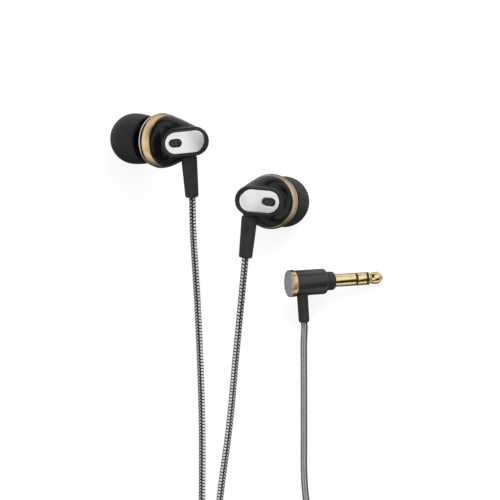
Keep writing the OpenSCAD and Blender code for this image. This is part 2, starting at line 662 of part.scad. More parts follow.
module braid() { color([0.55, 0.55, 0.56]) children(); }
module splitter() {
    edge = 0.6;
    color([0.22, 0.22, 0.23]) translate(splitter_at) rotate([90, 0, 0]) difference() {
        rotate_extrude() polygon([[0, 0], [splitter_d / 2 - edge, 0], [splitter_d / 2, edge],
            [splitter_d / 2, splitter_len * 0.5], [splitter_d / 2 - 0.6, splitter_len - edge],
            [splitter_d / 2 - 0.6 - edge, splitter_len], [0, splitter_len]]);
        for (s = [-1, 1]) translate([s * hole_off, 0, -1])
            cylinder(r = branch_d / 2 + cord_clear, h = hole_deep + 1);
        translate([0, 0, splitter_len - hole_deep])
            cylinder(r = main_d / 2 + cord_clear, h = hole_deep + 1);
    }
}

place_left() ear_tip_dome();  // ear_tip_dome_left
place_right() ear_tip_dome();  // ear_tip_dome_right
place_left() ear_tip_core();  // ear_tip_core_left
place_right() ear_tip_core();  // ear_tip_core_right
place_left() front_shell();  // front_shell_left
place_right() front_shell();  // front_shell_right
place_left() nozzle_mesh();  // nozzle_mesh_left
place_right() nozzle_mesh();  // nozzle_mesh_right
place_left() trim_ring();  // trim_ring_left
place_right() trim_ring();  // trim_ring_right
place_left() gold_ring();  // gold_ring_left
place_right() gold_ring();  // gold_ring_right
place_left() rear_shell();  // rear_shell_left
place_right() rear_shell();  // rear_shell_right
place_left() face_bezel();  // face_bezel_left
place_right() face_bezel();  // face_bezel_right
place_left() face_plate();  // face_plate_left
place_right() face_plate();  // face_plate_right
place_left() vent_mesh();  // vent_mesh_left
place_right() vent_mesh();  // vent_mesh_right
place_left() driver_frame();  // driver_frame_left
place_right() driver_frame();  // driver_frame_right
place_left() driver_magnet();  // driver_magnet_left
place_right() driver_magnet();  // driver_magnet_right
place_left() voice_coil();  // voice_coil_left
place_right() voice_coil();  // voice_coil_right
place_left() diaphragm();  // diaphragm_left
place_right() diaphragm();  // diaphragm_right
place_left() terminal_board();  // terminal_board_left
place_right() terminal_board();  // terminal_board_right
place_left() strain_relief();  // strain_relief_left
place_right() strain_relief();  // strain_relief_right
place_left() cord_anchor();  // cord_anchor_left
place_right() cord_anchor();  // cord_anchor_right
place_plug() plug_end_cap();
place_plug() plug_cap_ring();
place_plug() plug_barrel();
place_plug() plug_core();
place_plug() plug_strain_relief();
place_plug() plug_cord_anchor();
place_plug() jack_sleeve();
place_plug() jack_ring();
place_plug() jack_tip();
place_plug() jack_insulators();
splitter();
braid() swept(left_run, branch_d, 8);  // left_cord
braid() swept(left_winding, branch_d, 6);  // left_coil
braid() swept(left_tail_run, branch_d, 8);  // left_tail
braid() swept(right_run, branch_d, 8);  // right_cord
braid() swept(right_winding, branch_d, 6);  // right_coil
braid() swept(right_tail_run, branch_d, 8);  // right_tail
braid() swept(main_run, main_d, 8);  // main_cord
braid() swept(main_winding, main_d, 6);  // main_coil
braid() swept(main_tail_run, main_d, 8);  // main_tail
tie(left_c, branch_layers, branch_turns, branch_d, -90);  // left_tie
tie(right_c, branch_layers, branch_turns, branch_d, -90);  // right_tie
tie(main_c, main_layers, main_turns, main_d, 0);  // main_tie
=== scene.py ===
# %% [markdown]
# # Wired earphones
# Two mirrored in-ear earpieces lie on a table with their braided cords and a right-angle plug.
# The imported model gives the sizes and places. This file dresses it: every visible piece is
# built again as a smooth mesh in the same place, and gets a finish made of shader nodes.

# %% Load the frame
import math

import bmesh
import bpy
from mathutils import Matrix, Vector


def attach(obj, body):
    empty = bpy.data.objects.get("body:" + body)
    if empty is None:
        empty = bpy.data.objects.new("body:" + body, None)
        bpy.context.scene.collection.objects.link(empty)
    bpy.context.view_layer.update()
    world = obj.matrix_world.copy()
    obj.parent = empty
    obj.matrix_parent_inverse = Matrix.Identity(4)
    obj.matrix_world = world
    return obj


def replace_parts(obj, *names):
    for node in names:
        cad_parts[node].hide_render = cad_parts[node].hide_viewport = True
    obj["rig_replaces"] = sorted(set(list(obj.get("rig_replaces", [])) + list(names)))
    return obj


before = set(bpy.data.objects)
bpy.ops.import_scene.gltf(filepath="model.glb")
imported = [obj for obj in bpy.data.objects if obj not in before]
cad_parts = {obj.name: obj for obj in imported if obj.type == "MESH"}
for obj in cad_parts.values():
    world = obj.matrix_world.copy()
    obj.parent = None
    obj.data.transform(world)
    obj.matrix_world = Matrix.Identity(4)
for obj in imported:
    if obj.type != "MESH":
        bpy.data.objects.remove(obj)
scene = bpy.context.scene
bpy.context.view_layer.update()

# %% [markdown]
# ## Where the pieces lie
# Each earpiece is drawn in a frame of its own, in millimetres: the gold ring's front edge is at
# z = 0, the silicone tip points along -z and the boot hangs along -y. A matrix then lays it on
# the table. Building in a local frame keeps every outline round and simple, and the same
# outline serves the left and the mirrored right earpiece.

# %% Placing matrices
MM = 0.001
TIP_R = 7.0
TIP_REACH = 10.0


def spin(degrees, axis):
    return Matrix.Rotation(math.radians(degrees), 4, axis)


def turned(lean, yaw, roll):
    """A piece's turn in degrees: about its own y, about z, and then the lean about x."""
    return spin(lean, "X") @ spin(roll, "Z") @ spin(yaw, "Y")


def laid(x, y, z, turn):
    return Matrix.Translation(Vector((x, y, z)) * MM) @ turn


def tip_rest(turn):
    """Height at which the silicone dome just touches the table."""
    return TIP_R - (turn @ Vector((0, 0, -TIP_REACH))).z


LEFT_TURN = turned(37, 45, 4.2)
RIGHT_TURN = turned(30, -20, -5.8)
PLUG_TURN = turned(28, 108, 3.8)
EARS = {
    "left": (laid(-13.5, 13, tip_rest(LEFT_TURN), LEFT_TURN), 1),
    "right": (laid(16.9, -7.3, tip_rest(RIGHT_TURN), RIGHT_TURN), -1),
}
RELIEF_AT, RELIEF_REACH, PLUG_EXIT_H = 3.9, 10.8, 2.2
RELIEF_DIR = PLUG_TURN @ Vector((0, -1, 0))
PIN_DIR = PLUG_TURN @ Vector((0, 0, 1))
PLUG_Z = PLUG_EXIT_H - RELIEF_REACH * RELIEF_DIR.z - RELIEF_AT * PIN_DIR.z
PLUG_PLACE = laid(21.4, -29.02, PLUG_Z, PLUG_TURN)

FACE_TILT, FACE_BACK = 35.5, 9.6
FACE = Matrix.Translation((0, 0, FACE_BACK)) @ spin(-FACE_TILT, "Y")
BOOT_SHIFT, BOOT_DEPTH, BOOT_REACH = 1.3, 3.9, 15.9
BOOT = FACE @ Matrix.Translation((BOOT_SHIFT, 0, -BOOT_DEPTH)) @ spin(90, "X")
print("plug height: %.2f mm" % PLUG_Z)

# %% [markdown]
# ## Camera
# A long lens from above gives nearly parallel sides, as small products are pictured. The
# camera leans back from the vertical by about the angle that the pieces lean, so that it sees
# their faces nearly square on.

# %% Camera
CAMERA_TARGET = Vector((11.0, -18.45, 8.0)) * MM
CAMERA_LEAN = 28
VIEW_WIDTH = 0.137
LENS = 800.0


def aim(obj, at, way):
    """Puts a camera or a lamp at a point and turns it to look one way."""
    obj.location = at
    obj.rotation_mode = "QUATERNION"
    obj.rotation_quaternion = way.to_track_quat("-Z", "Y")


camera_data = bpy.data.cameras.new("camera")
camera_data.lens = LENS
camera = bpy.data.objects.new("camera", camera_data)
scene.collection.objects.link(camera)
elevation = math.radians(90 - CAMERA_LEAN)
back = Vector((0, -math.cos(elevation), math.sin(elevation)))
distance = VIEW_WIDTH * LENS / camera_data.sensor_width
aim(camera, CAMERA_TARGET + back * distance, -back)
camera_data.clip_start, camera_data.clip_end = 0.01, 10
scene.camera = camera
print("camera distance: %.3f m" % distance)

# %% [markdown]
# ## Cord routes
# Each cord is a fixed length of soft braid. A branch runs from its boot down to the table, lies
# there in a loose line, is wound into a small coil held by a tie, and ends in the Y-splitter.
# The long cord runs from the plug to its own coil and back to the splitter. The points are the
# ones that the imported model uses, in millimetres. A Catmull-Rom curve passes through every
# point, so a route can be corrected by moving one point.

# %% Routes through points
CORD_D, WIND_GAP = 1.8, 0.45
TIE_T, TIE_W, TIE_GAP = 0.4, 4.0, 0.35
COIL_Z, COIL_MID_R, TURN_STEPS = TIE_T + CORD_D / 2, 10.0, 60
PITCH = CORD_D + WIND_GAP
PATH_STEP = 0.8


def catmull_rom(points, steps):
    """Points on a smooth curve through the given ones."""
    p = [Vector(q) for q in points]
    out = []
    for i in range(len(p) - 1):
        a, b, c, d = p[max(i - 1, 0)], p[i], p[i + 1], p[min(i + 2, len(p) - 1)]
        for k in range(steps):
            t = k / steps
            out.append(0.5 * (2 * b + (c - a) * t + (2 * a - 5 * b + 4 * c - d) * t * t
                              + (3 * b - a - 3 * c + d) * t ** 3))
    return out + [p[-1]]


def free_run(points, steps=8):
    """A smooth run whose first and last stretches stay straight."""
    return [Vector(points[0])] + catmull_rom(points[1:-1], steps) + [Vector(points[-1])]


def evenly(points, spacing):
    """The same line with its points a fixed distance apart."""
    at = [0.0]
    for a, b in zip(points, points[1:]):
        at.append(at[-1] + (b - a).length)
    count = max(2, round(at[-1] / spacing))
    out, i = [], 0
    for k in range(count + 1):
        s = at[-1] * k / count
        while i < len(at) - 2 and at[i + 1] < s:
            i += 1
        span = at[i + 1] - at[i]
        out.append(points[i].lerp(points[i + 1], (s - at[i]) / span if span > 0 else 0))
    return out


def run_length(points):
    return sum((b - a).length for a, b in zip(points, points[1:]))


# %% [markdown]
# ## Coils
# The spare cord is wound inwards, climbs one layer, and is wound outwards again, the way
# earphones are packed for storage. The turns lie a little more than a diameter apart.

# %% Coil winding
def coil_point(centre, side, layers, turns, s):
    """The point s turns along a coil. Odd layers are wound outwards."""
    k = math.floor(s / turns)
    f = s - k * turns
    inward = f if k % 2 == 0 else turns - f
    r = COIL_MID_R + PITCH * (turns / 2 - inward)
    near = math.floor(s / turns + 0.5)
    if near < 1:
        level = 0.0
    elif near > layers - 1:
        level = layers - 1.0
    else:
        u = min(1, max(0, (s - near * turns) * 2 + 0.5))
        level = near - 1 + u * u * (3 - 2 * u)
    angle = 2 * math.pi * s
    return Vector((centre[0] + side * r * math.cos(angle),
                   centre[1] - r * math.sin(angle), centre[2] + PITCH * level))


def coil_path(centre, side, layers, turns):
    count = int(TURN_STEPS * layers * turns)
    p = [coil_point(centre, side, layers, turns, i / TURN_STEPS) for i in range(count + 1)]
    return [p[0] + Vector((0, CORD_D, 0))] + p + [p[-1] - Vector((0, CORD_D, 0))]


def coil(x, y, side, layers, turns):
    """A coil's centre, side, layers and turns. Its cord comes in at x, y."""
    return (Vector((x - side * (COIL_MID_R + PITCH * turns / 2), y, COIL_Z)), side, layers,
            turns)


COILS = {"left": coil(-2.2, -109, side=1, layers=2, turns=1.5),
         "right": coil(1.8, -109, side=-1, layers=2, turns=1.5),
         "main": coil(28.5, -113.5, side=-1, layers=4, turns=3)}
WINDINGS = {name: coil_path(*values) for name, values in COILS.items()}
for name, winding in WINDINGS.items():
    print(name, "coil holds %.0f mm" % run_length(winding))

# %% Whole routes
SPLITTER_TOP = Vector((-0.2, -120, 2.7))
SPLITTER_LEN, HOLE_OFF, HOLE_DEEP = 16.0, 1.1, 3.0


def exit_of(place, x_side, local):
    """A boot's or relief's end on the table, and the way it points, in millimetres."""
    at = place @ (Vector((local[0] * x_side, local[1], local[2])) * MM)
    way = (place.to_3x3() @ Vector((0, -1, 0))).normalized()
    return at / MM, way


boot_end = FACE @ Vector((BOOT_SHIFT, -BOOT_REACH, -BOOT_DEPTH))
left_exit, left_way = exit_of(*EARS["left"], boot_end)
right_exit, right_way = exit_of(*EARS["right"], boot_end)
plug_exit, plug_way = exit_of(PLUG_PLACE, 1, (0, -RELIEF_REACH, RELIEF_AT))

LEFT_ROUTE = [left_exit, left_exit + CORD_D * left_way, (-4.75, -5.6, 2.9), (-4.6, -9.5, 1.45),
              (-4.38, -14, 0.95), (-4, -20.5, 0.9), (-3.3, -33, 0.9), (-2.65, -48, 0.9),
              (-2.1, -66, 0.9), (-2, -84, 0.9), (-2.1, -98, 1.1)]
RIGHT_ROUTE = [right_exit, right_exit + CORD_D * right_way, (9.2, -28, 9.2), (8.7, -32.3, 6.3),
               (8.2, -36.8, 3.7), (7.7, -41.8, 1.9), (7.2, -47.3, 1.05), (6.65, -54, 0.9),
               (5.95, -63, 0.9), (4.95, -73, 0.9), (3.5, -85, 0.9), (2.15, -98, 1)]
MAIN_ROUTE = [plug_exit, plug_exit + CORD_D * plug_way, (25.72, -43.4, 0.95), (25.72, -49, 0.9),
              (25.72, -60, 0.9), (25.7, -72, 0.9), (25.7, -83, 0.9), (26.3, -92, 0.9),
              (27.8, -101, 1.1)]
MAIN_TAIL = [SPLITTER_TOP + Vector((0, HOLE_DEEP - SPLITTER_LEN, 0)),
             SPLITTER_TOP - Vector((0, SPLITTER_LEN + 1, 0)), (0.6, -143, 1.4),
             (4, -148.5, 0.9), (10, -151.5, 0.9), (17, -151, 0.9), (23, -147, 0.9),
             (26.8, -140, 1.1), (28.2, -132, 2.8), (28.5, -125, 5.6), (28.5, -119.5, 7.6)]


def into_coil(route, winding):
    return free_run(route + [winding[0] + Vector((0, CORD_D, 0)), winding[0]])


def branch_path(route, winding, hole_x):
    """Boot, table, coil and splitter in one line."""
    last = winding[-1]
    tail = free_run([last, last - Vector((0, CORD_D, 0)),
                     (hole_x, SPLITTER_TOP.y + CORD_D, SPLITTER_TOP.z),
                     (hole_x, SPLITTER_TOP.y - HOLE_DEEP, SPLITTER_TOP.z)], 4)
    return into_coil(route, winding) + winding[1:] + tail[1:]


main_last = WINDINGS["main"][-1]
tail_run = free_run(MAIN_TAIL + [main_last - Vector((0, CORD_D, 0)), main_last], 6)
PATHS = {
    "left": branch_path(LEFT_ROUTE, WINDINGS["left"], SPLITTER_TOP.x - HOLE_OFF),
    "right": branch_path(RIGHT_ROUTE, WINDINGS["right"], SPLITTER_TOP.x + HOLE_OFF),
    "main": (tail_run + WINDINGS["main"][-2::-1]
             + into_coil(MAIN_ROUTE, WINDINGS["main"])[-2::-1]),
}
PATHS = {name: evenly(path, PATH_STEP) for name, path in PATHS.items()}
for name, path in PATHS.items():
    print(name, "cord: %.1f mm on %d points" % (run_length(path), len(path)))

# %% [markdown]
# ## The braid as a mesh tube
# A braided sleeve is a tube of interlaced yarns. The tube is built here, and its yarns are
# drawn by the shader from three numbers kept at each point: the cosine and sine of the angle
# round the cord, and the distance along it. Storing them keeps the weave even in every bend.
# The rings are carried along the route without twisting, so the yarn columns run straight.

# %% Braided tube
TUBE_SIDES = 20


def carried_frames(points):
    """Two directions across the line at each point, carried along without twist."""
    heads = [(points[min(i + 1, len(points) - 1)] - points[max(i - 1, 0)]).normalized()
             for i in range(len(points))]
    side = heads[0].cross(Vector((0, 0, 1))).normalized()
    frames = []
    for head in heads:
        side = (side - head * side.dot(head)).normalized()
        frames.append((side, head.cross(side)))
    return frames


def angles(count):
    return [2 * math.pi * k / count for k in range(count)]


def rings_along(points, r, sides):
    """A ring round the line at each of its points."""
    return [[point + (a * math.cos(q) + b * math.sin(q)) * r for q in angles(sides)]
            for point, (a, b) in zip(points, carried_frames(points))]


def skin(rows, closed=False, capped=False):
    """Equal closed outlines joined into a skin."""
    n, count = len(rows[0]), len(rows)
    faces = []
    for i in range(count if closed else count - 1):
        a, b = i * n, ((i + 1) % count) * n
        faces += [(a + k, a + (k + 1) % n, b + (k + 1) % n, b + k) for k in range(n)]
    if capped:
        faces.append(tuple(range(n - 1, -1, -1)))
        faces.append(tuple((count - 1) * n + k for k in range(n)))
    return [p for row in rows for p in row], faces


def new_object(name, verts, faces, place=None, unit=MM):
    """A mesh object, from points in millimetres or another unit."""
    mesh = bpy.data.meshes.new(name)
    mesh.from_pydata([tuple(Vector(v) * unit) for v in verts], [], faces)
    mesh.validate()
    obj = bpy.data.objects.new(name, mesh)
    scene.collection.objects.link(obj)
    if place is not None:
        obj.matrix_world = place
    return obj


def braided_tube(name, path):
    weave, along = [], 0.0
    for i, point in enumerate(path):
        along += (point - path[i - 1]).length if i else 0.0
        for q in angles(TUBE_SIDES):
            weave.extend((math.cos(q), math.sin(q), along))
    tube = new_object(name, *skin(rings_along(path, CORD_D / 2, TUBE_SIDES), capped=True))
    tube.data.attributes.new("weave", "FLOAT_VECTOR", "POINT").data.foreach_set("vector", weave)
    tube.data.shade_smooth()
    return tube


CORDS = {name: braided_tube(name + "_braid", path) for name, path in PATHS.items()}
print("cord points:", sum(len(c.data.vertices) for c in CORDS.values()))

# %% [markdown]
# ## Nodes in short lines
# A finish is a small graph of shader nodes. This helper adds a node, sets its values and links
# its inputs in one line, for materials and for node groups alike.

# %% Node helper
class Nodes:
    def __init__(self, tree):
        self.tree = tree

    def put(self, socket, value):
        if isinstance(value, bpy.types.NodeSocket):
            self.tree.links.new(value, socket)
        elif value is not None:
            socket.default_value = value

    def add(self, kind, *inputs, **settings):
        node = self.tree.nodes.new("ShaderNode" + kind)
        for key, value in settings.items():
            setattr(node, key, value)
        for socket, value in zip(node.inputs, inputs):
            self.put(socket, value)
        return node

    def named(self, kind, inputs, **settings):
        """A node whose inputs are given by name."""
        node = self.add(kind, **settings)
        for key, value in inputs.items():
            self.put(node.inputs[key], value)
        return node

    def math(self, operation, *values, clamp=False):
        return self.add("Math", *values, operation=operation, use_clamp=clamp).outputs[0]

    def plus(self, a, b):
        return self.math("ADD", a, b)

    def minus(self, a, b, clamp=False):
        return self.math("SUBTRACT", a, b, clamp=clamp)

    def times(self, a, b, clamp=False):
        return self.math("MULTIPLY", a, b, clamp=clamp)

    def over(self, a, b):
        return self.math("DIVIDE", a, b)

    def mixed(self, sockets, values, **settings):
        """A Mix node. Its sockets are found by number, as its kinds share their names."""
        node = self.add("Mix", **settings)
        for socket, value in zip(sockets, values):
            self.put(node.inputs[socket], value)
        return node.outputs

    def mix(self, factor, a, b, blend="MIX"):
        return self.mixed((0, 6, 7), (factor, a, b), data_type="RGBA", blend_type=blend)[2]

    def blend(self, factor, a, b):
        return self.mixed((0, 2, 3), (factor, a, b), data_type="FLOAT")[0]

    def span(self, value, low, high, to_low=0.0, to_high=1.0):
        """A value's range from low to high, moved to another range and held there."""
        return self.add("MapRange", value, low, high, to_low, to_high).outputs[0]

    def noise(self, vector, scale, detail=2.0, rough=0.5):
        return self.named("TexNoise", {"Vector": vector, "Scale": scale, "Detail": detail,
                                       "Roughness": rough}).outputs[0]

    def bump(self, height, strength, distance):
        return self.named("Bump", {"Strength": strength, "Distance": distance,
                                   "Height": height}).outputs[0]

    def place(self):
        return self.add("TexCoord").outputs["Object"]

    def group(self, tree, **inputs):
        node = self.add("Group")
        node.node_tree = tree
        for key, value in inputs.items():
            self.put(node.inputs[key.replace("_", " ")], value)
        return node


def grey(value):
    return (value, value, value, 1.0)


def colour(r, g, b):
    return (r, g, b, 1.0)


# %% [markdown]
# ## Studio
# The set lies on a plain white table under soft light. The world is white where the camera or
# a reflection looks at it, and dimmer where it lights matt surfaces, so nothing pale burns
# out. Polished metal and glossy plastic need dark surroundings too, or they look flat, so a
# tent of dark cloth stands round the table. Only reflections see it. Its windows let the white
# world through: two high ones in front, which the face plates mirror, a low gap behind, two
# on the right for the plug's barrel and pin, and one on the left for the left gold band.
#
# The table is white to the camera as well. In a reflection it is pale away from the set and
# dark close under it, where the pieces shade it. The Ambient Occlusion node measures that, and
# it gives the gold bands their dark lower ends.

# %% World and floor
WORLD_LIGHT, TABLE_HALF, TABLE_GREY = 0.50, 2.0, 0.24
TABLE_GLOW, TABLE_GLOSS = 0.85, 0.75  # brightness to the camera, and at most in a reflection
SHADE_REACH, SHADED, OPEN = 0.07, 0.87, 0.99


def empty_material(name):
    """A material without nodes, and a helper that adds them."""
    material = bpy.data.materials.new(name)
    material.use_nodes = True
    material.node_tree.nodes.clear()
    return material, Nodes(material.node_tree)


scene.view_settings.view_transform = "Standard"
world = bpy.data.worlds.new("studio")
scene.world = world
world.use_nodes = True
world.node_tree.nodes.clear()
w = Nodes(world.node_tree)
rays = w.add("LightPath").outputs
seen = w.math("MAXIMUM", w.math("MAXIMUM", rays["Is Camera Ray"], rays["Is Glossy Ray"]),
              rays["Is Transmission Ray"])
sky = w.add("Background", grey(1.0), w.blend(seen, WORLD_LIGHT, 1.0))
w.put(w.add("OutputWorld").inputs[0], sky.outputs[0])

floor = new_object("floor", [(-TABLE_HALF, -TABLE_HALF, 0), (TABLE_HALF, -TABLE_HALF, 0),
                             (TABLE_HALF, TABLE_HALF, 0), (-TABLE_HALF, TABLE_HALF, 0)],
                   [(0, 1, 2, 3)], unit=1.0)
floor_paint, f = empty_material("table_white")
path_rays = f.add("LightPath").outputs
matt = f.named("BsdfDiffuse", {"Color": grey(TABLE_GREY)})
openness = f.named("AmbientOcclusion", {"Distance": SHADE_REACH}, samples=8).outputs["AO"]
mirrored = f.times(f.span(openness, SHADED, OPEN, 0.0, TABLE_GLOSS),
                   path_rays["Is Glossy Ray"])
glow = f.add("Emission", grey(1.0),
             f.math("MAXIMUM", f.times(path_rays["Is Camera Ray"], TABLE_GLOW), mirrored))
both = f.add("AddShader", matt.outputs[0], glow.outputs[0])
f.put(f.add("OutputMaterial").inputs[0], both.outputs[0])
floor.data.materials.append(floor_paint)
print("table: %.1f m wide" % (2 * TABLE_HALF))

# %% Tent of dark cloth
TENT_R, TENT_STEP, CLOTH_TONE = 1.2, 3, 0.02
FEATHER = 8.0
# Each window: middle azimuth, middle height, half its width, half its height, brightness.
WINDOWS = [(-84, 45, 22, 18, 1.0), (-38, 55, 14, 10, 1.0), (92, 13, 70, 15, 1.0),
           (20, 54, 36, 12, 1.0), (26, 28, 20, 16, 0.9), (182, 10, 30, 18, 1.0)]


def tent_tone(azimuth, height):
    """How bright the tent is in one direction: dark cloth, with windows that fade out."""
    tone = CLOTH_TONE
    for a, h, half_a, half_h, bright in WINDOWS:
        off_a = abs((azimuth - a + 180) % 360 - 180) - half_a
        off_h = abs(height - h) - half_h
        off = math.hypot(max(0.0, off_a), max(0.0, off_h)) / FEATHER
        tone = max(tone, bright * (0.5 + 0.5 * math.cos(math.pi * min(1.0, off))))
    return tone


def tent():
    """A half sphere of cloth, left open where a window is fully bright."""
    verts, tones, faces = [], [], []
    around, up = 360 // TENT_STEP, 90 // TENT_STEP
    for row in range(up + 1):
        for k in range(around):
            a, h = math.radians(k * TENT_STEP), math.radians(row * TENT_STEP)
            r = TENT_R * math.cos(h)
            verts.append((r * math.cos(a), r * math.sin(a), TENT_R * math.sin(h)))
            tones.append(tent_tone(k * TENT_STEP, row * TENT_STEP))
    for row in range(up):
        for k in range(around):
            low, j = row * around, (k + 1) % around
            face = (low + k, low + j, low + around + j, low + around + k)
            if min(tones[v] for v in face) < 1.0:
                faces.append(face)
    obj = new_object("tent", verts, faces, unit=1.0)
    obj.data.attributes.new("tone", "FLOAT", "POINT").data.foreach_set("value", tones)
    cloth, c = empty_material("tent_cloth")
    tone = c.add("Attribute", attribute_name="tone").outputs["Fac"]
    c.put(c.add("OutputMaterial").inputs[0], c.add("Emission", grey(1.0), tone).outputs[0])
    obj.data.materials.append(cloth)
    obj.visible_camera = obj.visible_diffuse = obj.visible_shadow = False
    obj.visible_transmission = False
    return obj


print("tent faces:", len(tent().data.polygons))

# %% Lamps
def soft_lamp(name, centre, toward, size, watts):
    data = bpy.data.lights.new(name, "AREA")
    data.shape, data.size, data.energy = "DISK", size, watts
    lamp = bpy.data.objects.new(name, data)
    scene.collection.objects.link(lamp)
    aim(lamp, centre, Vector(toward) - Vector(centre))
    return lamp


MIDDLE = (0.01, -0.02, 0.0)
key_lamp = soft_lamp("key_lamp", (0.30, 0.38, 0.50), MIDDLE, size=0.60, watts=3.6)
fill_lamp = soft_lamp("fill_lamp", (-0.45, -0.35, 0.50), MIDDLE, size=0.50, watts=1.0)
key_lamp.visible_glossy = fill_lamp.visible_glossy = False
print("lamps:", key_lamp.name, fill_lamp.name)

# %% [markdown]
# ## Tools for turned and oblong pieces
# Nearly every piece of an earphone is turned: tip, rings, housing, boot and plug are profiles
# swept round an axis. One tool rounds the corners of a profile, because no moulded or machined
# edge is perfectly sharp and a rounded edge catches a line of light. Another sweeps the profile
# round. The face is an oblong with half-round ends, a stadium, and takes the same kind of skin
# as the cords.

# %% Profile and lathe
CORNER_SHARE = 0.45  # most of a neighbouring line that a rounded corner may use up


def softened(points, steps=4):
    """A closed profile, rounded at each point that carries a radius as its third number."""
    out, n = [], len(points)
    for i, point in enumerate(points):
        p = Vector(point[:2])
        if len(point) < 3:
            out.append(p)
            continue
        a, b = Vector(points[i - 1][:2]) - p, Vector(points[(i + 1) % n][:2]) - p
        cut = min(point[2], CORNER_SHARE * a.length, CORNER_SHARE * b.length)
        start, end = p + a.normalized() * cut, p + b.normalized() * cut
        for k in range(steps + 1):
            t = k / steps
            out.append(start * (1 - t) ** 2 + p * (2 * t * (1 - t)) + end * t * t)
    return out


def circle(r, z, sides):
    return [Vector((r * math.cos(q), r * math.sin(q), z)) for q in angles(sides)]


def lathe(profile, segments=96):
    """A closed profile of (radius, z) swept round z. Points on the axis become one point."""
    verts, rows = [], []
    for r, z in profile:
        if r < 1e-4:
            rows.append([len(verts)] * segments)
            verts.append((0, 0, z))
        else:
            rows.append(list(range(len(verts), len(verts) + segments)))
            verts += circle(r, z, segments)
    faces = []
    for low, high in zip(rows, rows[1:] + rows[:1]):
        for k in range(segments):
            j = (k + 1) % segments
            ring = [low[k], low[j], high[j], high[k]]
            face = [v for i, v in enumerate(ring) if v != ring[i - 1]]
            if len(face) > 2:
                faces.append(face)
    return verts, faces


def joined(*parts):
    """Several (verts, faces) as one."""
    verts, faces = [], []
    for v, f in parts:
        faces += [tuple(i + len(verts) for i in face) for face in f]
        verts += list(v)
    return verts, faces


def moved(part, matrix):
    verts, faces = part
    return [matrix @ Vector(v) for v in verts], faces


# %% Stadium outlines
ARC_STEPS, SIDE_STEPS = 24, 12


def stadium(length, width, inset=0.0, z=0.0):
    """An oblong with half-round ends, as a ring of points."""
    r, half = width / 2 - inset, (length - width) / 2
    ring = []
    for end in (1, -1):
        arc = (math.radians(-90 * end + 180 * k / ARC_STEPS) for k in range(ARC_STEPS + 1))
        ring += [Vector((half * end + r * math.cos(a), r * math.sin(a), z)) for a in arc]
        ring += [Vector((end * (half - 2 * half * k / SIDE_STEPS), r * end, z))
                 for k in range(1, SIDE_STEPS)]
    return ring


def piece(name, part, place, finish, slot, solids, body="root", side=1, sharp=50):
    """One piece: built in millimetres, laid on the table, painted, and tied to its solids."""
    verts, faces = part
    if side < 0:
        verts = [(-v[0], v[1], v[2]) for v in verts]
    obj = new_object(name, verts, faces, place)
    mesh = bmesh.new()
    mesh.from_mesh(obj.data)
    bmesh.ops.recalc_face_normals(mesh, faces=mesh.faces)
    mesh.to_mesh(obj.data)
    mesh.free()
    obj.data.shade_smooth()
    obj.data.set_sharp_from_angle(angle=math.radians(sharp))
    obj.data.materials.append(PAINTS[finish])
    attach(obj, body)
    if solids:
        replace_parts(obj, *solids)
    return obj


def on_both_ears(*rows, body="root"):
    """Pieces of the left earpiece, and then the same ones mirrored for the right.

    Each row: name, part, finish, slot (not used), the solid that it stands for or "", and its
    sharp angle where that isn't piece's own."""
    for side_name, (place, side) in EARS.items():
        end = "_" + side_name
        for name, part, finish, slot, solid, *sharp in rows:
            piece(name + end, part, place, finish, slot, [solid + end] if solid else [],
                  body if body == "root" else body + end, side, *sharp)


# %% [markdown]
# ## Shared effects
# Real surfaces are never one colour. Four effects are used by several finishes, so each is a
# node group, built once and placed with its own values: a fine grain for moulded rubber and
# plastic, drawn lines for brushed metal, worn edges, and thin dust that settles where a
# surface faces up. The groups put out numbers and normals only. The shader itself stays in
# each material.

# %% Group helper and fine grain
def effect(name, inputs, outputs):
    """An empty node group with named inputs (name, kind, default) and outputs (name, kind)."""
    tree = bpy.data.node_groups.new(name, "ShaderNodeTree")
    for label, kind, default in inputs:
        socket = tree.interface.new_socket(label, in_out="INPUT",
                                           socket_type="NodeSocket" + kind)
        if default is not None:
            socket.default_value = default
    for label, kind in outputs:
        tree.interface.new_socket(label, in_out="OUTPUT", socket_type="NodeSocket" + kind)
    n = Nodes(tree)
    start = tree.nodes.new("NodeGroupInput").outputs
    end = tree.nodes.new("NodeGroupOutput").inputs
    return n, start, end


n, at, to = effect("fine_grain", [("Place", "Vector", None), ("Size", "Float", 0.0003),
                                  ("Depth", "Float", 0.00001)],
                   [("Shade", "Float"), ("Patches", "Float"), ("Normal", "Vector")])
fine = n.over(1.0, at["Size"])
speckle = n.noise(at["Place"], fine, 3.0, 0.6)
n.put(to["Shade"], speckle)
n.put(to["Patches"], n.noise(at["Place"], n.times(fine, 0.06), 2.0, 0.5))
n.put(to["Normal"], n.bump(speckle, 1.0, at["Depth"]))
FINE_GRAIN = n.tree

# %% Drawn lines of brushed metal
# "Lines" is a place whose first number runs along the lines and whose others run across them.
n, at, to = effect("drawn_lines", [("Lines", "Vector", None), ("Fineness", "Float", 9000.0),
                                   ("Depth", "Float", 0.000004)],
                   [("Shade", "Float"), ("Streaks", "Float"), ("Normal", "Vector")])
squeezed = n.add("VectorMath", at["Lines"], (0.012, 1.0, 1.0), operation="MULTIPLY").outputs[0]
hair = n.noise(squeezed, at["Fineness"], 4.0, 0.65)
wide = n.noise(squeezed, n.times(at["Fineness"], 0.14), 3.0, 0.5)
n.put(to["Shade"], n.blend(0.35, hair, wide))
n.put(to["Streaks"], wide)
n.put(to["Normal"], n.bump(hair, 1.0, at["Depth"]))
DRAWN_LINES = n.tree

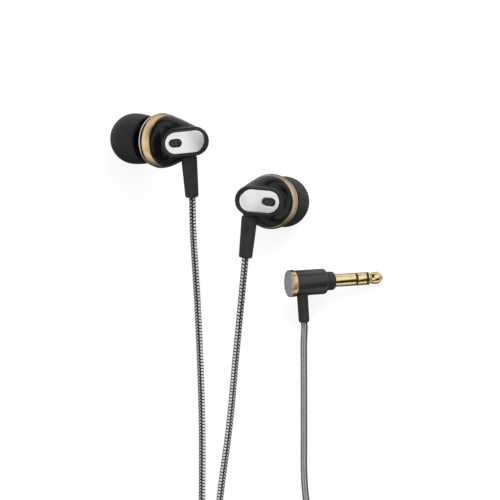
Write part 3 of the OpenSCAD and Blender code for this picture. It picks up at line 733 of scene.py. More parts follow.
# %% Worn edges
n, at, to = effect("worn_edges", [("Place", "Vector", None), ("Width", "Float", 0.00012),
                                  ("Amount", "Float", 0.5)], [("Edge", "Float")])
rounded = n.named("Bevel", {"Radius": at["Width"]}, samples=4).outputs[0]
facing = n.add("VectorMath", rounded, n.add("NewGeometry").outputs["Normal"],
               operation="DOT_PRODUCT").outputs["Value"]
edge = n.span(facing, 0.995, 0.86)
broken = n.span(n.noise(at["Place"], 1800.0, 4.0, 0.6), 0.38, 0.62)
n.put(to["Edge"], n.times(n.times(edge, broken), at["Amount"], clamp=True))
WORN_EDGES = n.tree

# %% Dust that settles from above
n, at, to = effect("settled_dust", [("Place", "Vector", None), ("Amount", "Float", 0.2)],
                   [("Dust", "Float")])
up = n.add("SeparateXYZ", n.add("NewGeometry").outputs["Normal"]).outputs[2]
specks = n.span(n.noise(at["Place"], 5200.0, 3.0, 0.7), 0.60, 0.74)
haze = n.span(n.noise(at["Place"], 420.0, 2.0, 0.5), 0.40, 0.75)
settled = n.times(n.span(up, 0.1, 0.9), n.blend(0.35, specks, haze))
n.put(to["Dust"], n.times(settled, at["Amount"], clamp=True))
SETTLED_DUST = n.tree


# %% [markdown]
# ## Finishes
# One finish for each material of the real thing. Each names the colour it would have in plain
# daylight, then lets the shared effects move that colour, the roughness and the surface a
# little, at the scale of the real grain: tenths of a millimetre on pieces this small.

# %% Material helper
PAINTS = {}


def paint(name, **settings):
    """A material with a Principled shader, its fixed values set on the shader's own sockets."""
    material, n = empty_material(name)
    shader = n.add("BsdfPrincipled")
    n.put(n.add("OutputMaterial").inputs[0], shader.outputs[0])
    for key, value in settings.items():
        shader.inputs[key.replace("_", " ")].default_value = value
    PAINTS[name] = material
    return n, shader.inputs


def surface(n, shader, base, roughness, normal):
    for key, value in (("Base Color", base), ("Roughness", roughness), ("Normal", normal)):
        n.put(shader[key], value)


def dusted(n, place, tone, amount, dust_tone):
    dust = n.group(SETTLED_DUST, Place=place, Amount=amount).outputs["Dust"]
    return n.mix(dust, tone, grey(dust_tone))


def rubbed(n, place, tone, pale, gain, width, amount):
    """Edges rubbed paler than the pale tone."""
    edge = n.group(WORN_EDGES, Place=place, Width=width, Amount=amount).outputs["Edge"]
    return n.mix(edge, tone, [min(1.0, gain * c) for c in pale[:3]] + [1.0])


# %% Moulded rubber and plastic
def moulded(name, base, pale, rough, grain, depth, dust, wear, **settings):
    """A matt moulded finish: grain, slow patches, rubbed edges and a little dust."""
    n, shader = paint(name, **settings)
    place = n.place()
    g = n.group(FINE_GRAIN, Place=place, Size=grain, Depth=depth).outputs
    tone = n.mix(n.span(g["Patches"], 0.3, 0.7, 0.0, 0.6), base, pale)
    tone = n.mix(n.span(g["Shade"], 0.45, 0.75, 0.0, 0.5), tone, pale)
    tone = rubbed(n, place, tone, pale, gain=2.2, width=0.00015, amount=wear)
    surface(n, shader, dusted(n, place, tone, amount=dust, dust_tone=0.35),
            n.span(g["Shade"], 0.3, 0.7, rough - 0.07, rough + 0.07), g["Normal"])


# Each: base tone, pale tone, roughness, size of the grain, its depth (both in metres).
moulded("tip_silicone", grey(0.012), grey(0.020), 0.50, 0.00022, 0.000006, dust=0.04,
        wear=0.06, Specular_IOR_Level=0.22)
moulded("core_silicone", colour(0.20, 0.006, 0.014), colour(0.30, 0.012, 0.022), 0.42,
        0.00025, 0.000006, dust=0.02, wear=0.0, Subsurface_Weight=0.2,
        Subsurface_Radius=(0.0008, 0.0002, 0.0002), Subsurface_Scale=1.0)
moulded("bezel_satin", grey(0.009), grey(0.015), 0.16, 0.00010, 0.0000015, dust=0.03,
        wear=0.30, Specular_IOR_Level=0.50)
moulded("boot_rubber", grey(0.029), grey(0.041), 0.56, 0.00014, 0.000007, dust=0.08,
        wear=0.20, Specular_IOR_Level=0.25)
moulded("plug_rubber", grey(0.016), grey(0.024), 0.30, 0.00012, 0.000003, dust=0.05,
        wear=0.20, Specular_IOR_Level=0.62)
moulded("ring_insulator", grey(0.010), grey(0.016), 0.35, 0.00008, 0.000002, dust=0.0,
        wear=0.0)
moulded("tie_vinyl", grey(0.016), grey(0.026), 0.40, 0.00016, 0.000004, dust=0.10, wear=0.2)

# %% [markdown]
# The housing is moulded in glossy black plastic. Under its clear top layer lies faint swirl,
# and finger marks make the gloss a little uneven.

# %% Glossy housing
def glossy_black():
    n, shader = paint("housing_gloss", Coat_Weight=0.35, Coat_Roughness=0.12, Coat_IOR=1.4,
                      Specular_IOR_Level=0.18)
    place = n.place()
    marks = n.noise(place, 260.0, 4.0, 0.6)
    tone = n.mix(n.span(marks, 0.35, 0.7), colour(0.0055, 0.0055, 0.0058),
                 colour(0.0090, 0.0090, 0.0095))
    ripple = n.noise(place, 900.0, 2.0, 0.5)
    surface(n, shader, dusted(n, place, tone, amount=0.05, dust_tone=0.25),
            n.span(marks, 0.3, 0.75, 0.18, 0.28), n.bump(ripple, 1.0, 0.0000012))


glossy_black()


# %% [markdown]
# ## Metal finishes
# Rings are brushed on a lathe, so their lines run round the axis; the face plate is drawn
# straight. Lines round an axis need the angle as a place, which the arctangent gives.

# %% Metals
RING_RADIUS = 0.007  # turns an angle into a length along a ring's lines
# The second value is the range of the Facing value over which a metal's colour is painted
# darker at a slant: painted shade.
METAL_DUST, PAINTED_SLANT_SPAN = 0.05, (0.30, 0.80)


def line_place(n, round_axis):
    """Along the lines first, then across them, in metres."""
    x, y, z = n.add("SeparateXYZ", n.place()).outputs
    if not round_axis:
        return n.add("CombineXYZ", x, y, z).outputs[0]
    angle = n.math("ARCTAN2", y, x)
    radius = n.math("SQRT", n.plus(n.times(x, x), n.times(y, y)))
    return n.add("CombineXYZ", n.times(angle, RING_RADIUS), radius, z).outputs[0]


def metal(name, dark, light, rough_low, rough_high, fineness, depth, round_axis=True,
          wear=0.15, painted_slant_shade=1.0, **settings):
    """Brushed or polished metal. Where it is seen at a slant, its colour can be painted darker:
    a painted shade that stands in for darker reflections at its edges.
    """
    n, shader = paint(name, Metallic=1.0, **settings)
    place = n.place()
    lines = n.group(DRAWN_LINES, Lines=line_place(n, round_axis), Fineness=fineness,
                    Depth=depth).outputs
    tone = n.mix(n.span(lines["Shade"], 0.32, 0.68), dark, light)
    tone = rubbed(n, place, tone, light, gain=1.15, width=0.0001, amount=wear)
    # Painted shade: the colour is darkened where the surface is seen at a slant, in place of
    # dark reflections at the edges.
    if painted_slant_shade < 1.0:
        slant = n.add("LayerWeight", 0.5).outputs["Facing"]
        shade = n.span(slant, *PAINTED_SLANT_SPAN, 1.0, painted_slant_shade)
        tone = n.mix(1.0, tone, n.add("CombineColor", shade, shade, shade).outputs[0],
                     "MULTIPLY")
    smudge = n.noise(place, 350.0, 3.0, 0.55)
    uneven = n.blend(0.5, n.span(lines["Streaks"], 0.3, 0.7), n.span(smudge, 0.3, 0.7))
    surface(n, shader, dusted(n, place, tone, amount=METAL_DUST, dust_tone=0.5),
            n.span(uneven, 0.0, 1.0, rough_low, rough_high), lines["Normal"])
    if round_axis:
        n.put(shader["Tangent"], n.add("Tangent", direction_type="RADIAL", axis="Z").outputs[0])


# Each: dark tone, light tone, lowest and highest roughness, lines to a metre, their depth.
# The gold band, the plug's gold collar and the contact pin are painted darker where they are
# seen at a slant: painted shade.
metal("gold_brushed", colour(0.90, 0.60, 0.30), colour(1.00, 0.72, 0.38), 0.26, 0.34,
      9000.0, 0.0000008, painted_slant_shade=0.15, Anisotropic=0.85, Anisotropic_Rotation=0.25)
metal("trim_polished", grey(0.74), grey(0.88), 0.10, 0.18, 12000.0, 0.0000004)
metal("plate_brushed", grey(0.84), grey(0.92), 0.15, 0.21, 8000.0, 0.0000006,
      round_axis=False)
metal("cap_satin", colour(0.78, 0.75, 0.70), colour(0.92, 0.89, 0.84), 0.34, 0.46, 9000.0,
      0.000002)
metal("contact_gold", colour(0.88, 0.66, 0.28), colour(1.00, 0.84, 0.46), 0.10, 0.18,
      14000.0, 0.0000008, wear=0.05, painted_slant_shade=0.25)
metal("mesh_wire", grey(0.30), grey(0.46), 0.30, 0.45, 9000.0, 0.000001, round_axis=False)
metal("driver_steel", grey(0.30), grey(0.42), 0.30, 0.45, 7000.0, 0.000003)
metal("magnet_nickel", grey(0.45), grey(0.60), 0.22, 0.34, 7000.0, 0.000002)

# %% [markdown]
# Inside the housing sit the driver's small parts: an enamelled copper coil wound in fine
# turns, a clear film diaphragm with rings pressed into it, and a green terminal board.

# %% Inner finishes
def inner_finish(name, marks, shade, dark, pale, rough_shade, rough, **settings):
    """A plain finish. Marks: a group and its values; shade, rough_shade: which of its numbers
    mix the tones and set the roughness."""
    n, shader = paint(name, **settings)
    tree, values = marks
    values["Lines" if tree == DRAWN_LINES else "Place"] = n.place()
    mark = n.group(tree, **values).outputs
    mixer = n.span(mark["Shade"], 0.4, 0.6) if shade == "Crisp" else mark[shade]
    surface(n, shader, n.mix(mixer, dark, pale), n.span(mark[rough_shade], 0.3, 0.7, *rough),
            mark["Normal"])


inner_finish("copper_turns", (DRAWN_LINES, {"Fineness": 5000.0, "Depth": 0.00001}), "Shade",
             colour(0.50, 0.20, 0.08), colour(0.80, 0.42, 0.22), "Streaks", (0.25, 0.45),
             Metallic=0.9, Coat_Weight=0.5, Coat_Roughness=0.1)
inner_finish("film", (FINE_GRAIN, {"Size": 0.0004, "Depth": 0.000006}), "Patches",
             colour(0.62, 0.60, 0.52), colour(0.78, 0.77, 0.72), "Shade", (0.15, 0.3),
             Coat_Weight=0.4, Coat_Roughness=0.08)
inner_finish("solder_mask", (FINE_GRAIN, {"Size": 0.00015, "Depth": 0.00001}), "Crisp",
             colour(0.008, 0.10, 0.035), colour(0.02, 0.19, 0.07), "Patches", (0.25, 0.4),
             Coat_Weight=0.5, Coat_Roughness=0.15)
print("finishes:", ", ".join(sorted(PAINTS)))

# %% [markdown]
# ## Braid
# The sleeve is braided from black yarn and pale yarn, so it shows bands along the cord: rows of
# round pale stitches, solid black bands, and pale bands crossed by rows of dark dots. One
# group draws one band of stitches, from the angle round the cord and the distance along it, so
# the stitches keep their size in every bend. Each cord is a few bands side by side.

# %% Band of stitches
THREADS_PER_STITCH = 40.0
n, at, to = effect("yarn_band", [("Across", "Float", None), ("From", "Float", 0.0),
                                 ("To", "Float", 1.0), ("Along", "Float", None),
                                 ("Stitch", "Float", 0.66), ("Share", "Float", 0.5),
                                 ("Slant", "Float", 0.0)],
                   [("Yarn", "Float"), ("Height", "Float"), ("Threads", "Float")])
t = n.over(n.minus(at["Across"], at["From"]), n.minus(at["To"], at["From"]))
from_side = n.math("ABSOLUTE", n.minus(n.times(t, 2.0), 1.0))
steps = n.plus(n.over(at["Along"], at["Stitch"]), n.times(at["Slant"], t))
from_end = n.math("ABSOLUTE", n.minus(n.times(n.math("FRACT", steps), 2.0), 1.0))
outward = n.plus(n.math("POWER", n.over(from_end, at["Share"]), 3.0),
                 n.math("POWER", from_side, 4.0))
n.put(to["Yarn"], n.span(outward, 1.12, 0.88))
threads = n.math("SINE", n.times(n.plus(steps, n.times(t, 0.35)), THREADS_PER_STITCH))
n.put(to["Height"], n.plus(n.minus(1.0, outward, clamp=True), n.times(threads, 0.05)))
n.put(to["Threads"], n.span(threads, -1.0, 1.0))
YARN_BAND = n.tree

# %% Braid finish
YARN_RELIEF = 0.00008


def braid_finish(name, stitch, bands, dots=(), mirrored=False, roll=0.0):
    """Pale bands (from, to, share, slant, paleness) on black, with dots of black on top.

    The bands are counted across half the cord, from one side as it lies to the other. Roll
    turns them round it, as a share of that half."""
    n, shader = paint(name, Sheen_Weight=0.10, Sheen_Roughness=0.5, Specular_IOR_Level=0.3)
    weave = n.add("Attribute", attribute_name="weave").outputs["Vector"]
    cosine, sine, along = n.add("SeparateXYZ", weave).outputs
    angle = n.over(n.math("ARCTAN2", sine, cosine), math.pi)
    across = n.math("FRACT", n.plus(n.times(angle, 1.0 if mirrored else -1.0), 2.0 + roll))

    def band(low, high, share, slant):
        return n.group(YARN_BAND, Across=across, From=low, To=high, Along=along,
                       Stitch=stitch, Share=share, Slant=slant).outputs

    ground = band(0.0, 1.0, 0.8, 2.0)
    pale_mask, height = 0.0, ground["Height"]
    for *place, paleness in bands:
        row = band(*place)
        pale_mask = n.math("MAXIMUM", pale_mask, n.times(row["Yarn"], paleness))
        height = n.math("MAXIMUM", height, row["Height"])
    for place in dots:
        pale_mask = n.minus(pale_mask, band(*place)["Yarn"], clamp=True)
    wander = n.noise(n.place(), 1500.0, 3.0, 0.6)
    dark = n.mix(ground["Threads"], grey(0.005), grey(0.022))
    pale = n.mix(n.times(ground["Threads"], n.span(wander, 0.3, 0.7)), grey(0.70), grey(0.95))
    surface(n, shader, n.mix(pale_mask, dark, pale), n.span(wander, 0.3, 0.7, 0.50, 0.72),
            n.bump(height, 1.0, YARN_RELIEF))


BRANCH_STITCH, LONG_STITCH, LONG_ROLL = 0.95, 0.74, 0.52
LEFT_BANDS = [(0.03, 0.40, 0.50, 0.5, 0.75), (0.53, 0.95, 0.66, 0.3, 1.0)]
RIGHT_BANDS = [(0.03, 0.38, 0.50, 0.5, 0.75), (0.50, 0.82, 0.66, 0.3, 1.0)]
LONG_BANDS = [(-0.02, 0.66, 2.0, 0.0, 0.56), (0.68, 0.98, 0.50, 0.5, 0.12)]
LONG_DOTS = [(0.06, 0.30, 0.80, 0.0), (0.41, 0.56, 0.60, 0.0)]
braid_finish("branch_braid", BRANCH_STITCH, LEFT_BANDS)
braid_finish("branch_braid_right", BRANCH_STITCH, RIGHT_BANDS, mirrored=True)
braid_finish("long_braid", LONG_STITCH, LONG_BANDS, LONG_DOTS, mirrored=True, roll=LONG_ROLL)
SLEEVES = {"left": "branch_braid", "right": "branch_braid_right", "main": "long_braid"}
for name, tube in CORDS.items():
    tube.data.materials.append(PAINTS[SLEEVES[name]])
print("sleeves:", SLEEVES)

# %% [markdown]
# ## Silicone tip
# The tip is one soft moulding of two colours: a thin black dome that folds back like a
# mushroom, and a dark red stem inside it that grips the nozzle. The dome's front is nearly a
# sphere; its skirt draws in slowly towards a thin rounded rim. One closed profile holds the
# outside, the rim and the inside, so the wall is really thin and the stem can be seen through
# the gap between the rim and the housing.

# %% Tip profiles
TIP_WALL, DOME_BACK, RIM_REACH, RIM_STEPS = 0.6, 13.8, 4.6, 16
RIM_IN, RIM_HALF, RIM_BULGE = 0.32, 0.30, 0.04
OPEN_R, CORE_R, CORE_BORE_R, CORE_FRONT, CORE_BACK = 2.4, 4.2, 2.75, 14.0, 7.3
RIB_DEPTH, RIB_STARTS = 0.14, (8.4, 9.9, 11.4)


def dome_front(r, opening_r, steps):
    """The round front, from its opening to its widest ring."""
    start = math.asin(opening_r / r)
    return [(r * math.sin(a), -TIP_REACH - r * math.cos(a)) for a in
            (start + (math.pi / 2 - start) * i / steps for i in range(steps + 1))]


def dome_skirt(r, order):
    """The skirt behind the widest ring, part of a long ellipse."""
    return [(r * math.sqrt(1 - (z / DOME_BACK) ** 2), -TIP_REACH + z) for z in
            ((TIP_REACH - RIM_REACH) * i / RIM_STEPS for i in order)]


def dome_profile():
    inner_r = TIP_R - TIP_WALL
    end = (TIP_R - RIM_IN) * math.sqrt(1 - ((TIP_REACH - RIM_REACH) / DOME_BACK) ** 2)
    rim = [(end + RIM_HALF * math.cos(a), -RIM_REACH - RIM_BULGE + RIM_BULGE * math.sin(a))
           for a in (math.radians(60 + 30 * k) for k in range(4))]
    neck = [(CORE_R, -CORE_FRONT), (OPEN_R + 0.2, -CORE_FRONT), (OPEN_R, -CORE_FRONT - 0.2)]
    return (dome_front(TIP_R, OPEN_R, 40) + dome_skirt(TIP_R, range(1, RIM_STEPS + 1)) + rim
            + dome_skirt(inner_r, range(RIM_STEPS - 1, 0, -1))
            + dome_front(inner_r, CORE_R, 20)[::-1] + neck)


def core_profile():
    """The stem, with the shallow ribs that let it grip and the bevel that lets it slide on."""
    outer = [(CORE_R - 0.25, -CORE_BACK, 0.15), (CORE_R, -CORE_BACK - 0.3, 0.15)]
    for z in RIB_STARTS:
        outer += [(CORE_R, -z, 0.1), (CORE_R - RIB_DEPTH, -z - 0.2, 0.1),
                  (CORE_R - RIB_DEPTH, -z - 0.6, 0.1), (CORE_R, -z - 0.8, 0.1)]
    return outer + [(CORE_R, -CORE_FRONT), (CORE_BORE_R, -CORE_FRONT),
                    (CORE_BORE_R, -CORE_BACK - 0.2, 0.1), (CORE_BORE_R + 0.2, -CORE_BACK, 0.1)]


on_both_ears(
    ("dome", lathe(dome_profile(), 128), "tip_silicone", "black_silicone", "ear_tip_dome"),
    ("stem", lathe(softened(core_profile())), "core_silicone", "red_silicone", "ear_tip_core"),
    body="tip")

# %% [markdown]
# ## Nozzle, flange and rings
# The front shell is one glossy moulding: nozzle with a retaining lip, boss and a flange. On the
# flange's edge sits a polished steel trim ring, then a dark groove, then the broad ring of
# brushed champagne gold. Each is turned, so each is a softened profile on the lathe.

# %% Front shell and rings
TUBE_R, RING_W = 6.6, 2.6
SHELL_PROFILE = [(1.7, -12.6, 0.1), (2.5, -12.6, 0.1), (2.7, -12.4, 0.1), (2.7, -11.9, 0.15),
                 (2.5, -11.6, 0.15), (2.5, -7.0), (3.6, -7.0, 0.2), (3.6, -2.4, 0.5),
                 (6.3, -1.6, 0.15), (6.6, -1.4), (6.6, -1.0), (6.95, -1.0, 0.05),
                 (6.95, 0.0, 0.05), (6.6, 0.0), (6.6, 3.4, 0.1), (6.0, 3.4, 0.1), (6.0, 0.3),
                 (5.3, 0.3), (5.3, -0.3, 0.3), (1.7, -3.0, 0.6)]
TRIM_PROFILE = [(TUBE_R, -1.4), (7.13, -1.4, 0.08), (7.25, -1.28, 0.08), (7.25, -1.05, 0.04),
                (7.20, -1.0, 0.03), (TUBE_R, -1.0)]
# Front edge with a narrow polished bevel, body slightly crowned, rear edge drawn in.
GOLD_PROFILE = [(TUBE_R + 0.05, 0.0), (7.38, 0.0, 0.03), (7.56, 0.16, 0.06), (7.60, 0.30, 0.10),
                (7.51, 1.40, 0.5), (7.27, 2.44, 0.05), (7.11, RING_W, 0.05),
                (TUBE_R + 0.05, RING_W)]
on_both_ears(
    ("nozzle_shell", lathe(softened(SHELL_PROFILE), 128), "housing_gloss", "black_gloss",
     "front_shell", 35),
    ("steel_trim", lathe(softened(TRIM_PROFILE), 160), "trim_polished", "polished_steel",
     "trim_ring"),
    ("gold_band", lathe(softened(GOLD_PROFILE), 160), "gold_brushed", "gold_brushed",
     "gold_ring"))

# %% [markdown]
# ## Rear shell
# Behind the gold ring the housing changes from a circle into the tilted oblong that carries the
# face plate. It is a loft: each line of the skin leaves the ring along the axis and arrives at
# the face along the face's own axis, like a bent strip. A cubic Hermite curve does exactly
# that, so the whole shell is smooth with no flat panels.

# %% Rear shell loft
FACE_LEN, FACE_W, BEZEL_H, SHELL_R, SHELL_WALL = 13.3, 8.1, 1.6, 7.15, 0.9
SHELL_OUT, SHELL_IN, SHELL_STEPS = 4.6, 3.4, 26


def shell_rows(inset=0.0):
    foot = [FACE @ p for p in stadium(FACE_LEN - 0.5, FACE_W - 0.5, inset, -BEZEL_H)]
    face_axis = (FACE.to_3x3() @ Vector((0, 0, 1))).normalized()
    rows = []
    for i in range(SHELL_STEPS + 1):
        t = i / SHELL_STEPS
        h = (2 * t ** 3 - 3 * t * t + 1, t ** 3 - 2 * t * t + t, 3 * t * t - 2 * t ** 3,
             t ** 3 - t * t)
        row = []
        for q, end in zip(stadium(FACE_LEN, FACE_W), foot):
            angle = math.atan2(q.y / (FACE_W / 2), q.x / (FACE_LEN / 2))
            start = Vector(((SHELL_R - inset) * math.cos(angle),
                            (SHELL_R - inset) * math.sin(angle), RING_W))
            row.append(start * h[0] + Vector((0, 0, SHELL_OUT)) * h[1] + end * h[2]
                       + face_axis * SHELL_IN * h[3])
        rows.append(row)
    return rows


rear_shell = skin(shell_rows() + shell_rows(inset=SHELL_WALL)[::-1], closed=True)
on_both_ears(("rear_housing", rear_shell, "housing_gloss", "black_gloss", "rear_shell", 60))
print("shell mesh:", len(rear_shell[0]), "points")

# %% [markdown]
# ## Face
# The face is a satin black bezel round a plate of brushed aluminium. The plate is bare, and
# slightly crowned so that light slides along it. A slot near its end, with a rolled black
# edge, opens the vent; a woven steel mesh lies under it.

# %% Bezel
BEZEL_W, PLATE_T, PLATE_SINK, PLATE_CLEAR = 0.85, 0.5, 0.12, 0.1
VENT_LEN, VENT_W, VENT_OFF, VENT_MESH_T = 3.5, 2.2, 2.75, 0.2
POCKET = PLATE_T + PLATE_SINK


def bezel_part():
    """An outer wall with a rounded shoulder, a flat top, and the pocket for the plate."""
    wall = softened([(0.0, -BEZEL_H + 0.05, 0.05), (0.0, -0.30, 0.25), (0.34, 0.0, 0.22),
                     (BEZEL_W - 0.10, 0.0, 0.05), (BEZEL_W, -0.14, 0.05),
                     (BEZEL_W, -POCKET), (3.6, -POCKET), (3.6, -BEZEL_H + 0.3),
                     (0.9, -BEZEL_H)], steps=5)
    return skin([stadium(FACE_LEN, FACE_W, inset, z) for inset, z in wall], closed=True)


# %% Plate with its slot
CROWN, CROSS_CROWN, CROSS_REACH, CROWN_STEPS = 0.26, 0.05, 3.0, 14
PLATE_EDGE, SLOT_EDGE, WALL_DROP = 0.10, -0.10, 0.10


def slot_ring(inset, z=0.0):
    """The slot's outline, turned to start where the plate's outline does."""
    return [p + Vector((-VENT_OFF, 0, 0)) for p in stadium(VENT_LEN, VENT_W, inset, z)]


def crown_at(p):
    """Drop of the crowned plate towards its far end and its long edges."""
    reach = FACE_LEN / 2 - BEZEL_W
    return -CROWN * (max(0.0, p.x) / reach) ** 2 - CROSS_CROWN * (p.y / CROSS_REACH) ** 2


def on_crown(ring, drop=0.0):
    return [p + Vector((0, 0, -PLATE_SINK - drop + crown_at(p))) for p in ring]


def plate_part():
    length = FACE_LEN - 2 * BEZEL_W - 2 * PLATE_CLEAR
    width = FACE_W - 2 * BEZEL_W - 2 * PLATE_CLEAR
    edge = stadium(length, width)
    rows = [[p + Vector((0, 0, -POCKET)) for p in edge], on_crown(edge, WALL_DROP)]
    for inset, drop in ((0.03, 0.04), (PLATE_EDGE, 0.0)):
        rows.append(on_crown(stadium(length, width, inset), drop))
    flat_edge, slot_edge = stadium(length, width, PLATE_EDGE), slot_ring(SLOT_EDGE)
    for k in range(1, CROWN_STEPS):
        t = k / CROWN_STEPS
        rows.append(on_crown([Vector((a.x + (b.x - a.x) * t, a.y + (b.y - a.y) * t, 0))
                              for a, b in zip(flat_edge, slot_edge)]))
    for inset, drop in ((SLOT_EDGE, 0.0), (-0.03, 0.04), (0.0, 0.12)):
        rows.append(on_crown(slot_ring(inset), drop))
    rows.append([p + Vector((0, 0, -POCKET)) for p in slot_ring(0)])
    return skin(rows, closed=True)


# %% Vent gasket and woven mesh
WIRE_SIDES = 6


def gasket_part():
    """A thin black gasket inside the slot."""
    profile = softened([(0.0, -0.30, 0.02), (0.0, -0.16, 0.05), (0.24, -0.20, 0.08),
                        (0.30, -POCKET + 0.02, 0.02), (0.0, -POCKET + 0.02, 0.02)])
    return skin([slot_ring(inset, z) for inset, z in profile], closed=True)


def woven(inside, half_x, half_y, pitch, r, z):
    """Wires that pass over and under each other, kept where inside(x, y) is true."""
    parts = []
    for along_x in (True, False):
        reach, across = (half_x, half_y) if along_x else (half_y, half_x)
        count = int(across / pitch)
        steps = int(2 * reach / (pitch / 4))
        for i in range(-count, count + 1):
            run = []
            for k in range(steps + 1):
                s = -reach + 2 * reach * k / steps
                phase = math.pi * (s / pitch + i + (0 if along_x else 1))
                x, y = (s, i * pitch) if along_x else (i * pitch, s)
                if inside(x, y):
                    run.append(Vector((x, y, z + r * 0.9 * math.cos(phase))))
            if len(run) > 3:
                parts.append(skin(rings_along(run, r, WIRE_SIDES), capped=True))
    return joined(*parts)


def in_slot(x, y):
    half = (VENT_LEN - VENT_W) / 2
    return math.hypot(max(0.0, abs(x) - half), y) < VENT_W / 2 + 0.1


def in_nozzle(x, y):
    return math.hypot(x, y) < 1.66


TO_SLOT = Matrix.Translation((-VENT_OFF, 0, 0))
MESH_BACK_Z, BACK_T, BACK_GROW = -POCKET - VENT_MESH_T, 0.02, 0.18
vent_weave = moved(woven(in_slot, VENT_LEN / 2 + 0.1, VENT_W / 2 + 0.1, pitch=0.17, r=0.045,
                         z=-POCKET - VENT_MESH_T / 2), TO_SLOT)
vent_back = moved(skin([stadium(VENT_LEN, VENT_W, -BACK_GROW, z)
                        for z in (MESH_BACK_Z, MESH_BACK_Z + BACK_T)], capped=True), TO_SLOT)
nozzle_weave = woven(in_nozzle, 1.7, 1.7, pitch=0.20, r=0.05, z=-12.3)
on_both_ears(
    ("bezel", moved(bezel_part(), FACE), "bezel_satin", "black_satin", "face_bezel"),
    ("plate", moved(plate_part(), FACE), "plate_brushed", "brushed_aluminium", "face_plate"),
    ("vent_rim", moved(gasket_part(), FACE), "bezel_satin", "black_satin", ""),
    ("vent_weave", moved(vent_weave, FACE), "mesh_wire", "vent_mesh", "vent_mesh", 60),
    ("vent_back", moved(vent_back, FACE), "ring_insulator", "vent_mesh", "", 60),
    ("nozzle_weave", nozzle_weave, "mesh_wire", "steel_mesh", "nozzle_mesh", 60))
print("vent mesh:", len(vent_weave[0]), "points; nozzle mesh:", len(nozzle_weave[0]))

# %% [markdown]
# ## Boot
# The boot is a tapered rubber sleeve that keeps the cord from kinking where it leaves the
# housing. It has a collar inside the housing, a smooth taper and a small chamfer at its end.

# %% Boot
# Each point: radius, distance down the boot from the middle of the face, corner radius.
BOOT_PROFILE = [(0.98, 1.6), (2.15, 1.6), (2.15, 2.2), (1.85, 2.2), (1.85, 4.5, 0.05),
                (2.12, 4.6, 0.15), (2.2, 5.0, 0.3), (1.86, 15.45, 0.12),
                (1.62, BOOT_REACH, 0.1), (1.1, BOOT_REACH, 0.12), (0.98, 15.5)]
on_both_ears(("boot", moved(lathe(softened(BOOT_PROFILE)), BOOT), "boot_rubber", "boot_rubber",
              "strain_relief"))

# %% [markdown]
# ## Plug
# A right-angle plug: a satin metal end cap, a gold ring, a rubber barrel with its strain relief
# at a right angle, a stepped collar, and a gold contact pin in three parts parted by two black
# rings. All of it is turned. The strain relief's foot is blended into the barrel, as a rubber
# moulding is.

# %% Plug barrel, caps and relief
BARREL_R, BARREL_Z, BARREL_END, COLLAR_R, JACK_Z = 3.5, 1.9, 10.8, 2.55, 13.3
CAP_R, CAP_T = 3.7, 0.5
CORE_START, BARREL_BORE_R, JACK_BORE_R = 7.7, 2.82, 1.3
RELIEF_R, RELIEF_BORE_R, RELIEF_SIDES = 1.5, 0.93, 64
FOOT_STEPS, FOOT_FLARE, FOOT_SINK, FOOT_RISE = 12, 0.55, 0.04, 1.0
RELIEF = Matrix.Translation((0, 0, RELIEF_AT)) @ spin(90, "X")


def foot_ring(t):
    """A ring of the flared foot that lies on the barrel's side. It ends round, at t = 1."""
    ring = []
    for q in angles(RELIEF_SIDES):
        r = RELIEF_R + FOOT_FLARE * (1 - t) ** 3 * (0.35 + 0.65 * abs(math.sin(q)))
        x, y = r * math.cos(q), r * math.sin(q)
        foot = math.sqrt(max(0.0, (BARREL_R - FOOT_SINK) ** 2 - x * x))
        ring.append(Vector((x, y, foot + FOOT_RISE * t * t)))
    return ring


def relief_part():
    """A tube whose foot flares into the barrel's side. Local z runs down the relief."""
    rows = [foot_ring(k / FOOT_STEPS) for k in range(FOOT_STEPS + 1)]
    tube = softened([(RELIEF_R, 5.0), (RELIEF_R - 0.03, RELIEF_REACH - 0.45, 0.1),
                     (RELIEF_R - 0.25, RELIEF_REACH, 0.1), (1.05, RELIEF_REACH, 0.1),
                     (RELIEF_BORE_R, RELIEF_REACH - 0.4), (RELIEF_BORE_R, 6.0),
                     (RELIEF_BORE_R, 3.0)])
    return skin(rows + [circle(r, z, RELIEF_SIDES) for r, z in tube])


def turned_piece(name, profile, finish, slot, solid, segments=96):
    piece(name, lathe(softened(profile), segments), PLUG_PLACE, finish, slot, [solid])


turned_piece("cap_disc", [(0.0, 0.0), (2.9, 0.0, 0.2), (3.15, 0.05, 0.1),
                          (CAP_R - 0.12, 0.05, 0.08), (CAP_R, 0.2, 0.08),
                          (CAP_R, CAP_T - 0.02, 0.03), (2.6, CAP_T), (2.6, 2.55), (0.0, 2.55)],
             "cap_satin", "cap_satin", "plug_end_cap")
turned_piece("gold_collar", [(2.7, CAP_T), (CAP_R - 0.02, CAP_T + 0.02, 0.1),
                             (CAP_R, CAP_T + 0.25, 0.1), (CAP_R, BARREL_Z - 0.25, 0.1),
                             (CAP_R - 0.12, BARREL_Z, 0.08), (2.7, BARREL_Z)],
             "gold_brushed", "gold_brushed", "plug_cap_ring", 128)
turned_piece("barrel", [(BARREL_BORE_R, BARREL_Z), (BARREL_R, BARREL_Z, 0.05),
                        (BARREL_R, BARREL_END - 0.5, 0.3), (BARREL_R - 0.45, BARREL_END, 0.25),
                        (COLLAR_R + 0.02, BARREL_END, 0.05), (COLLAR_R + 0.02, CORE_START),
                        (BARREL_BORE_R, CORE_START - 0.1)],
             "plug_rubber", "boot_rubber", "plug_barrel", 128)
turned_piece("collar_step", [(JACK_BORE_R, CORE_START), (COLLAR_R, CORE_START),
                             (COLLAR_R, JACK_Z - 0.55, 0.2), (COLLAR_R - 0.45, JACK_Z, 0.15),
                             (JACK_BORE_R, JACK_Z)],
             "boot_rubber", "black_satin", "plug_core")
piece("plug_relief", moved(relief_part(), RELIEF), PLUG_PLACE, "boot_rubber", "boot_rubber",
      ["plug_strain_relief"])

